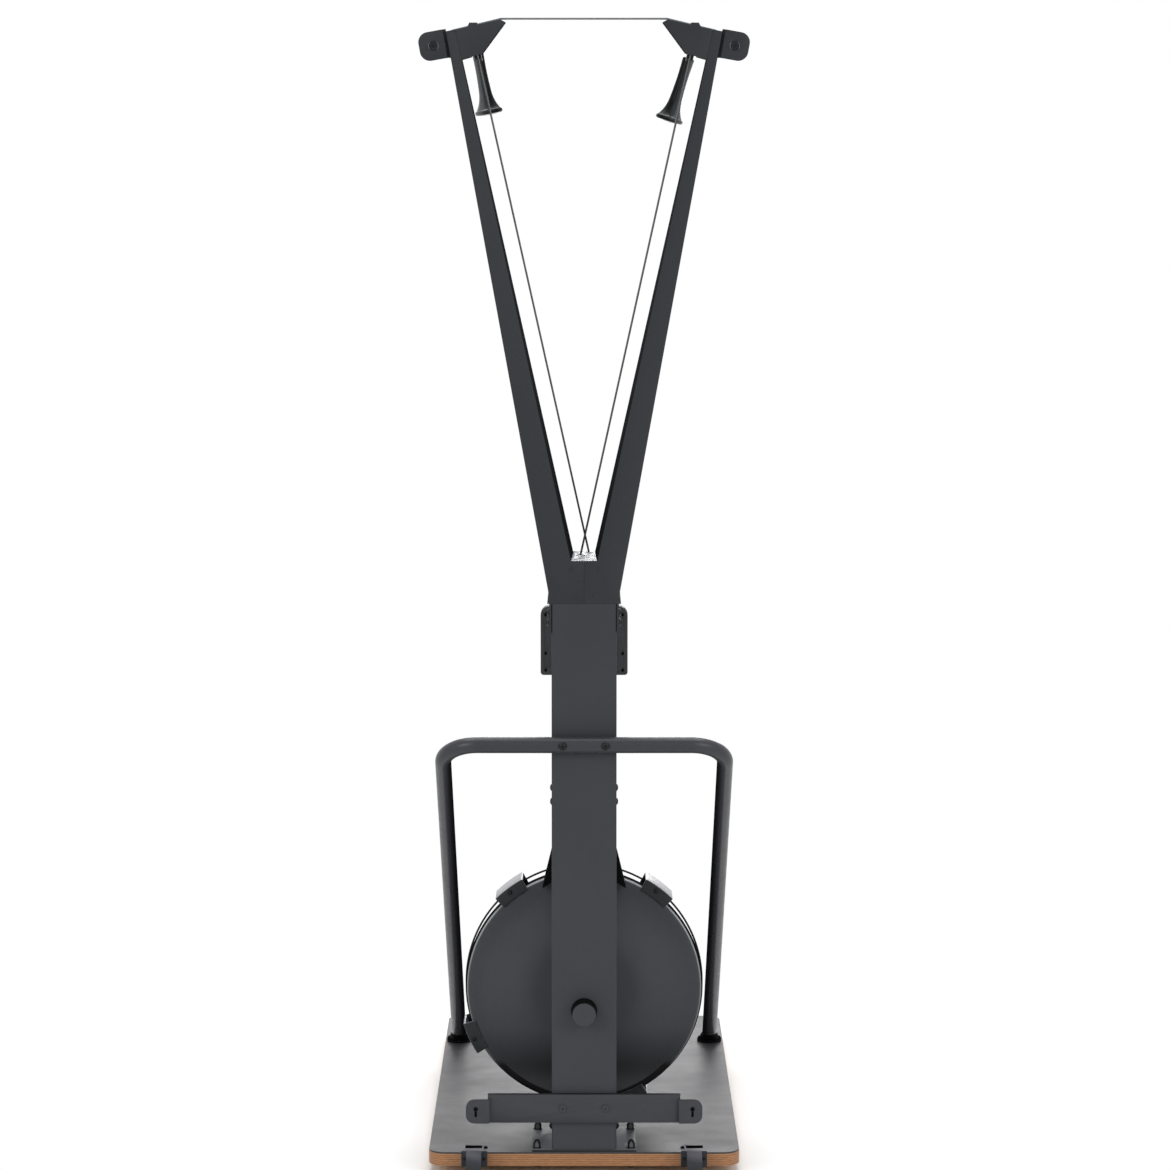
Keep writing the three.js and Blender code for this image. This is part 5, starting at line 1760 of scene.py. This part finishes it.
@dataclass(frozen=True)
class Stay(Group):
    """The bent stay tube, its foot flanges and collars, and its bolts."""

    height: float = 0.7935
    spread: float = 0.27
    reach: float = 1.025
    bend: float = 0.066
    radius: float = 0.0155
    column_gap: float = 0.0003
    foot_lift: float = 0.0053
    flange: Profile = (
        (0, 0), (0.0262, 0), (0.0262, 0.0028), (0.0256, 0.0044), (0.0242, 0.005), (0.0, 0.005),
    )
    collar: Profile = (
        (0.0215, 0.0252, 0.0046), (0.0212, 0.0252, 0.0066), (0.0184, 0.0261, 0.0205),
        (0.0174, 0.0261, 0.0222), (0.0156, 0.0254, 0.0226),
    )
    bolt_seat: float = 0.0055
    foot_bolt_radius: float = 0.0056
    foot_bolt_height: float = 0.0078
    foot_bolt_aside: float = 0.0205
    foot_bolt_back: float = 0.006
    foot_bolt_sink: float = 0.0001

    @property
    def rear(self) -> float:
        """Where the tube's middle runs behind the column."""
        return COLUMN_REAR - self.column_gap - self.radius

    def leg(self, lift: float) -> float:
        """How far forward a leg's middle is at a height above the platform."""
        return self.rear + self.reach * (self.height - lift) / self.height

    def build(self) -> None:
        """Makes the tube, the flanges, the collars and the bolts."""
        foot_z, top_z, foot_y = DECK_TOP + self.foot_lift, DECK_TOP + self.height, self.leg(self.foot_lift)
        half = ((foot_y, foot_z), (self.rear, top_z))
        corners = [Vector((-self.spread, y, z)) for y, z in half]
        corners += [Vector((self.spread, y, z)) for y, z in reversed(half)]
        tube = sweep(rounded_route(corners, self.bend, 20), self.radius, 40)
        self.shop.build(tube, Tag.of("stay_bar", Finish.STAY), Edges(sharp=50))
        foot_bolts = []
        for hand in HANDS:
            low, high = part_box(f"stay_foot_{hand}")
            centre = (low + high) / 2
            place = turned_frame((centre.x, centre.y, low.z), UP)
            self.shop.build(lathe(self.flange, place, 56), Tag.of(f"stay_foot_{hand}", Finish.DEEP))
            for x in (centre.x - self.foot_bolt_aside, centre.x + self.foot_bolt_aside):
                foot_bolts.append(((x, centre.y - self.foot_bolt_back, high.z - self.foot_bolt_sink), UP))
            node = f"stay_bolt_{hand}"
            centre, seat = middle_of(node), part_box(node)[0].y + self.bolt_seat
            spot = ((centre.x, seat, centre.z), TO_WALL)
            self.shop.repeat(Fittings.dome(), [spot], Tag.of(node, Finish.BOLT))
        self.collars()
        head = Fittings.dome(self.foot_bolt_radius, self.foot_bolt_height)
        self.shop.repeat(head, foot_bolts, Tag("stay_foot_bolts", Finish.DEEP))

    def collars(self) -> None:
        """Makes the black collars, level rings that follow the leaning legs' feet."""
        shape = bmesh.new()
        for side in HANDS.values():
            rings = []
            for wide, deep, lift in self.collar:
                middle = Vector((side * self.spread, self.leg(lift), DECK_TOP + lift))
                offsets = [Vector((wide * math.cos(a), deep * math.sin(a), 0)) for a in turns(48)]
                rings.append([shape.verts.new(middle + offset) for offset in offsets])
            for low, high in zip(rings, rings[1:]):
                bridge(shape, low, high)
            shape.faces.new(rings[0])
            shape.faces.new(rings[-1])
        self.shop.build(shape, Tag("stay_collars", Finish.DEEP))


@dataclass(frozen=True)
class WallBar(Group):
    """The channel across the column's foot, the pockets in its keyhole ears and its bolts."""

    REFITS = (Refit("lower_wall_bar", Finish.WALL_BAR, 0.0008),)
    plate: float = 0.003
    pocket_aside: float = 0.2081
    pocket_middle: float = 0.1312
    pocket_width: float = 0.017
    pocket_height: float = 0.027
    pocket_corner: float = 0.006
    pocket_depth: float = 0.0092
    pocket_wall: float = 0.001
    bolt_radius: float = 0.0075
    bolt_height: float = 0.0026
    bolt_aside: float = 0.041
    bolt_middle: float = 0.1328
    bolt_seat: float = 0.008

    def build(self) -> None:
        """Makes the pockets and the bolts."""
        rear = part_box("lower_wall_bar")[0].y
        width, height = self.pocket_width, self.pocket_height
        corner, wall, deep = self.pocket_corner, self.pocket_wall, self.pocket_depth
        outer = rounded_loop(width, height, corner)
        inner = rounded_loop(width - 2 * wall, height - 2 * wall, corner - wall)
        stations = ((outer, 0.0), (outer, -deep), (inner, wall - deep), (inner, 0.0))
        shape = bmesh.new()
        for side in HANDS.values():
            place = upright(side * self.pocket_aside, rear + self.plate, self.pocket_middle)
            front, back, floor, mouth = (ring_of(shape, loop, depth, place) for loop, depth in stations)
            for low, high in ((front, back), (floor, mouth), (mouth, front)):
                bridge(shape, low, high)
            shape.faces.new(back)
            shape.faces.new(floor)
        self.shop.build(shape, Tag("keyhole_pockets", Finish.PLASTIC))
        spots = pair(self.bolt_aside, rear + self.bolt_seat, self.bolt_middle, TO_WALL)
        head = Fittings.pan(self.bolt_radius, self.bolt_height)
        self.shop.repeat(head, spots, Tag("wall_bar_bolts", Finish.COLUMN))


@dataclass(frozen=True)
class Fan(Group):
    """The dished rear cover with its trim, the slotted front cover, the damper, the wheel and its drive."""

    REFITS = (
        Refit("fan_front_cover", Finish.PLASTIC, 0.0008), Refit("damper_ring", Finish.BOLT),
        Refit("fan_neck", Finish.DEEP, 0.0012), Refit("fan_wheel", Finish.STEEL, 0.0005),
        Refit("fan_shaft", Finish.STEEL, 0.0008), Refit("bearing_rear", Finish.STEEL),
        Refit("bearing_front", Finish.STEEL), Refit("cord_drum_left", Finish.PLASTIC),
        Refit("cord_drum_right", Finish.PLASTIC), Refit("cord_block", Finish.PLASTIC, 0.0008),
    )
    length: float = 0.056
    bore: float = 0.0203
    hub: float = 0.088
    dish_start: float = 0.095
    dish_width: float = 0.117
    rim_start: float = 0.219
    lip: Profile = ((0, 0.002), (0.0004, 0.0005), (0.0015, 0), (0.0026, 0.0005), (0.003, 0.002))
    trim_gap: float = 0.0002
    trim_inset: float = 0.006
    trim: Profile = ((0, 0), (0.0024, 0.0002), (0.003, 0.001), (0.003, 0.0034), (0, 0.004), (0, 0))
    cap_side: Profile = (
        (0.0203, 0.0), (0.025, 0.0), (0.025, 0.003), (0.0245, 0.0036), (0.0236, 0.004), (0.0232, 0.038),
        (0.0226, 0.0405),
    )
    cap_face: Profile = ((0.0226, 0.0405), (0.0215, 0.0419), (0.0205, 0.042), (0.0, 0.042))

    def build(self) -> None:
        """Makes the rear cover, its trim and the shaft's cap."""
        self.shop.build(
            lathe(self.cover(), turned_frame((0, COVER_BACK, SHAFT_Z)), 144),
            Tag.of("fan_rear_cover", Finish.COVER), Edges(sharp=38),
        )
        rim = COVER_RADIUS + self.trim_gap
        edge = turned_frame((0, COVER_BACK + self.length - self.trim_inset, SHAFT_Z))
        trim = lathe([(rim + out, height) for out, height in self.trim], edge, 144)
        self.shop.build(trim, Tag("fan_cover_trim", Finish.DEEP))
        place = turned_frame((0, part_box("shaft_cap")[1].y, SHAFT_Z), TO_WALL)
        side = Tag("shaft_cap_side", Finish.DEEP, node="shaft_cap")
        self.shop.build(lathe(self.cap_side, place), side)
        self.shop.build(lathe(self.cap_face, place), Tag("shaft_cap_face", Finish.COLUMN))

    def cover(self) -> Profile:
        """The rear cover's wall: bore, hub, dish and rounded rim outside, and the same inside.

        Returns:
            The profile.
        """
        swell = [
            (self.dish_start + self.dish_width * k / 28, COVER_DEPTH * (1 - math.cos(math.pi * k / 28)) / 2)
            for k in range(29)
        ]
        corner = [(math.sin(math.pi * k / 16), math.cos(math.pi * k / 16)) for k in range(9)]
        radius, height = COVER_RADIUS - COVER_ROUNDING, COVER_DEPTH + COVER_ROUNDING
        inner = COVER_ROUNDING - COVER_WALL
        wall = [(self.bore, 0), (self.hub, 0), *swell, (self.rim_start, COVER_DEPTH)]
        wall += [(radius + COVER_ROUNDING * s, height - COVER_ROUNDING * c) for s, c in corner]
        wall += [(COVER_RADIUS - inset, self.length - back_off) for inset, back_off in self.lip]
        wall += [(radius + inner * s, height - inner * c) for s, c in reversed(corner)]
        wall += [(r, h + COVER_WALL) for r, h in reversed(swell)]
        return (*wall, (self.bore, COVER_WALL), (self.bore, 0))


@dataclass(frozen=True)
class Guard(Group):
    """The guard's wire hoops and ties, the clips that hold the covers together, and the clips' screws."""

    REFITS = tuple(Refit(f"guard_clip_{number}", Finish.CLIP, 0.002, 3) for number in range(1, 5))
    clip_angles: tuple[float, ...] = (53, 127, 204.5, 293)
    wire: float = 0.002
    tie: float = 0.0019
    reach: float = 0.0504
    overhang: float = 0.003
    screw_radius: float = 0.0055
    screw_height: float = 0.0016
    screw_circle: float = 0.2405
    screw_turn: float = 0.6

    def build(self) -> None:
        """Makes the wires and the screws."""
        shape = bmesh.new()
        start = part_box("fan_guard")[0].y
        near, far = COVER_RADIUS - COVER_WALL / 2, COVER_RADIUS + self.overhang
        for radius, y in ((near, start + self.wire), (far, start + self.reach)):
            hoop = [Vector((radius * math.cos(a), y, SHAFT_Z + radius * math.sin(a))) for a in turns(160)]
            sweep(hoop, self.wire, 10, closed=True, into=shape)
        circle = (near + far) / 2
        screws = []
        for number, degrees in enumerate(self.clip_angles, 1):
            angle = math.radians(degrees)
            x, z = circle * math.cos(angle), SHAFT_Z + circle * math.sin(angle)
            sweep([Vector((x, start, z)), Vector((x, start + self.reach, z))], self.tie, 10, into=shape)
            angle = math.radians(degrees + self.screw_turn)
            x, z = self.screw_circle * math.cos(angle), SHAFT_Z + self.screw_circle * math.sin(angle)
            screws.append(((x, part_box(f"guard_clip_{number}")[0].y, z), TO_WALL))
        self.shop.build(shape, Tag.of("fan_guard", Finish.GUARD), Edges(sharp=50))
        screw = Fittings.pan(self.screw_radius, self.screw_height)
        self.shop.repeat(screw, screws, Tag("clip_screws", Finish.BOLT))


@dataclass(frozen=True)
class Console(Group):
    """The console, its window and button, the bracket that it tilts on and its case screws."""

    REFITS = (
        Refit("console_bracket", Finish.PLASTIC, 0.0008), Refit("console_case", Finish.CASE, 0.0016, 3),
        Refit("console_screen", Finish.SCREEN, 0.0005), Refit("console_button", Finish.RUBBER, 0.0008, 3),
    )
    screw_radius: float = 0.0029
    screw_height: float = 0.0007
    screw_aside: float = 0.075
    screw_rises: tuple[float, ...] = (0.0525, -0.0235, -0.0565)
    screw_sink: float = 0.0005

    def build(self) -> None:
        """Makes the case screws."""
        rear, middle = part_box("console_case")[0].y + self.screw_sink, middle_of("console_case").z
        spots = []
        for rise in self.screw_rises:
            spots += pair(self.screw_aside, rear, middle + rise, TO_WALL)
        screw = Fittings.pan(self.screw_radius, self.screw_height)
        self.shop.repeat(screw, spots, Tag("console_screws", Finish.DEEP, BODY_OF["console_case"]))


@dataclass(frozen=True)
class Wheels(Group):
    """The transport wheels, their brackets and the brackets' screws."""

    REFITS = tuple(Refit(f"wheel_bracket_{hand}", Finish.BRACKET) for hand in HANDS)
    wheel: Profile = (
        (0.0043, 0.0078), (0.008, 0.0078), (0.0085, 0.0055), (0.0165, 0.0055), (0.017, 0.0076),
        (0.0215, 0.008), (0.0232, 0.0071), (0.024, 0.0052), (0.024, 0.0),
    )
    screw_radius: float = 0.0034
    screw_head: float = 0.0014
    screw_aside: float = 0.0195
    screw_back: float = 0.0043
    screw_height: float = 0.0335

    def build(self) -> None:
        """Makes the wheels and the screws."""
        screws = []
        for hand in HANDS:
            place = turned_frame(middle_of(f"transport_wheel_{hand}"), (1, 0, 0))
            shape = lathe((*both_ways(self.wheel), self.wheel[0]), place, 56)
            self.shop.build(shape, Tag.of(f"transport_wheel_{hand}", Finish.RUBBER))
            middle = middle_of(f"wheel_bracket_{hand}").x
            for x in (middle - self.screw_aside, middle + self.screw_aside):
                screws.append(((x, REAR - self.screw_back, self.screw_height), TO_WALL))
        screw = Fittings.pan(self.screw_radius, self.screw_head)
        self.shop.repeat(screw, screws, Tag("bracket_screws", Finish.BOLT))


@dataclass(frozen=True)
class SideBolts(Group):
    """The bolts through the column's sides."""

    seat: float = 0.0055
    block_radius: float = 0.007
    block_height: float = 0.0036

    def build(self) -> None:
        """Makes a head on each side for every bolt."""
        bolts = [f"{part}_bolt_{level}" for part in ("fork", "block") for level in ("upper", "lower")]
        for node in (*bolts, "base_bolt"):
            block = node.startswith("block")
            head = Fittings.dome(self.block_radius, self.block_height) if block else Fittings.dome()
            centre, seat = middle_of(node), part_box(node)[1].x - self.seat
            spots = [((side * seat, centre.y, centre.z), (side, 0, 0)) for side in HANDS.values()]
            self.shop.repeat(head, spots, Tag.of(node, Finish.BOLT))


GROUPS: tuple[type[Group], ...] = (
    Platform, Column, Fork, Heads, Cords, Handles, WallTabs,
    Stay, WallBar, Fan, Guard, Console, Wheels, SideBolts,
)


@dataclass(frozen=True)
class Lamp:
    """A soft area lamp that faces a point."""

    name: str
    at: Point
    aim: Point
    size: float
    power: float

    def build(self) -> None:
        """Makes the lamp."""
        data = bpy.data.lights.new(self.name, "AREA")
        data.shape = "DISK"
        data.size = self.size
        data.energy = self.power
        lamp = bpy.data.objects.new(self.name, data)
        lamp.location = self.at
        lamp.rotation_euler = (Vector(self.aim) - Vector(self.at)).to_track_quat("-Z", "Y").to_euler()
        bpy.context.scene.collection.objects.link(lamp)


@dataclass(frozen=True)
class Studio:
    """The world, the floor, the lamps and the camera.

    Attributes:
        lamps: the soft lamps round the machine.
        ambient: the strength of the light from all round.
        floor_size: half the floor's width.
        shadow_reach: how far from the platform the floor turns white.
        platform: half the platform's width and length.
        sensor: the camera's sensor width in millimetres.
        focal_pixels: its focal length, in pixels of the photograph.
        image_pixels: the photograph's width in pixels.
        camera_back: how far the camera stands behind the platform's rear edge.
        camera_aside: how far it stands to the right.
        camera_height: its height above the platform.
        camera_pitch: its turn up from straight down, in degrees.
    """

    lamps: tuple[Lamp, ...] = (
        Lamp("top_softbox", (0.0, 0.6, 5.2), (0, 0, 0.6), 4.5, 190),
        Lamp("rear_left_fill", (-4.2, -6.0, 3.4), (0, -0.5, 1.0), 3.5, 120),
        Lamp("rear_right_fill", (4.2, -6.0, 3.4), (0, -0.5, 1.0), 3.5, 120),
        Lamp("front_fill", (0.5, 6.5, 2.8), (0, 0, 1.0), 3.5, 120),
    )
    ambient: float = 0.55
    floor_size: float = 30
    shadow_reach: float = 0.4
    platform: tuple[float, float, float] = (0.3, 0.635, 0)
    sensor: float = 36
    focal_pixels: float = 4223
    image_pixels: float = 1170
    camera_back: float = 7.971
    camera_aside: float = 0.0017
    camera_height: float = 1.9476
    camera_pitch: float = 83.92

    def build(self) -> None:
        """Makes all of it."""
        self.world()
        self.floor()
        for lamp in self.lamps:
            lamp.build()
        self.camera()
        bpy.context.scene.view_settings.view_transform = "Standard"

    @staticmethod
    def seen(nodes: Nodes) -> tuple[Socket, Socket, Socket]:
        """Whether a ray comes from the camera, from a reflection or through something clear."""
        path = nodes.add("ShaderNodeLightPath").outputs
        return path["Is Camera Ray"], path["Is Glossy Ray"], path["Is Transmission Ray"]

    def world(self) -> None:
        """A plain ambient light that shows white to the camera and in reflections."""
        world = bpy.data.worlds.new("studio")
        bpy.context.scene.world = world
        world.use_nodes = True
        nodes = Nodes(world.node_tree)
        nodes.tree.nodes.clear()
        camera, glossy, clear = self.seen(nodes)
        white_seen = nodes.maths("MAXIMUM", camera, nodes.maths("MAXIMUM", glossy, clear))
        ambient = nodes.add("ShaderNodeBackground", {"Strength": self.ambient}).outputs[0]
        white = nodes.add("ShaderNodeBackground", {"Color": (1, 1, 1, 1)}).outputs[0]
        mixed = nodes.add("ShaderNodeMixShader", {0: white_seen, 1: ambient, 2: white})
        nodes.add("ShaderNodeOutputWorld", {0: mixed.outputs[0]})

    def floor(self) -> None:
        """A pale floor that keeps the shadow round the platform and turns white further off."""
        shader = Shader("floor")
        where = shader.add("ShaderNodeTexCoord").outputs["Object"]
        aside = shader.vector("ABSOLUTE", where).outputs[0]
        past = shader.vector("SUBTRACT", aside, self.platform).outputs[0]
        reach = shader.vector("LENGTH", shader.vector("MAXIMUM", past).outputs[0]).outputs["Value"]
        camera, glossy, clear = self.seen(shader)
        seen = shader.maths("MAXIMUM", shader.maths("MAXIMUM", camera, glossy), clear)
        drift = shader.noise(Grain(2, 2), where)
        shader.wear(shader.between(drift, srgb(250, 250, 250), srgb(253, 253, 253), 0, 1), 0.9)
        shader.set(Specular_IOR_Level=0.1)
        glow = shader.add("ShaderNodeEmission", {"Color": (1, 1, 1, 1), "Strength": 1.0}).outputs[0]
        fade = shader.both(shader.past(reach, 0.0, self.shadow_reach), seen)
        mixed = shader.add("ShaderNodeMixShader", {0: fade, 1: shader.surface.outputs[0], 2: glow})
        shader.join(mixed.outputs[0], shader.tree.nodes["Material Output"].inputs[0])
        shape = bmesh.new()
        bmesh.ops.create_grid(shape, x_segments=1, y_segments=1, size=self.floor_size)
        mesh = bpy.data.meshes.new("floor")
        shape.to_mesh(mesh)
        shape.free()
        mesh.materials.append(shader.material)
        floor = bpy.data.objects.new("floor", mesh)
        bpy.context.scene.collection.objects.link(floor)

    def camera(self) -> None:
        """The camera behind the machine, a little above its head, as in the photograph."""
        data = bpy.data.cameras.new("camera")
        data.sensor_width = self.sensor
        data.lens = self.sensor * self.focal_pixels / self.image_pixels
        data.clip_end = 100
        camera = bpy.data.objects.new("camera", data)
        camera.location = (self.camera_aside, REAR - self.camera_back, DECK_TOP + self.camera_height)
        camera.rotation_euler = (math.radians(self.camera_pitch), 0, 0)
        bpy.context.scene.collection.objects.link(camera)
        bpy.context.scene.camera = camera


def main() -> None:
    """Builds the studio and the machine."""
    logging.basicConfig(level=logging.INFO, format="%(message)s")
    Studio().build()
    shop = Workshop()
    for group in GROUPS:
        group(shop).make()


if __name__ == "__main__":
    main()
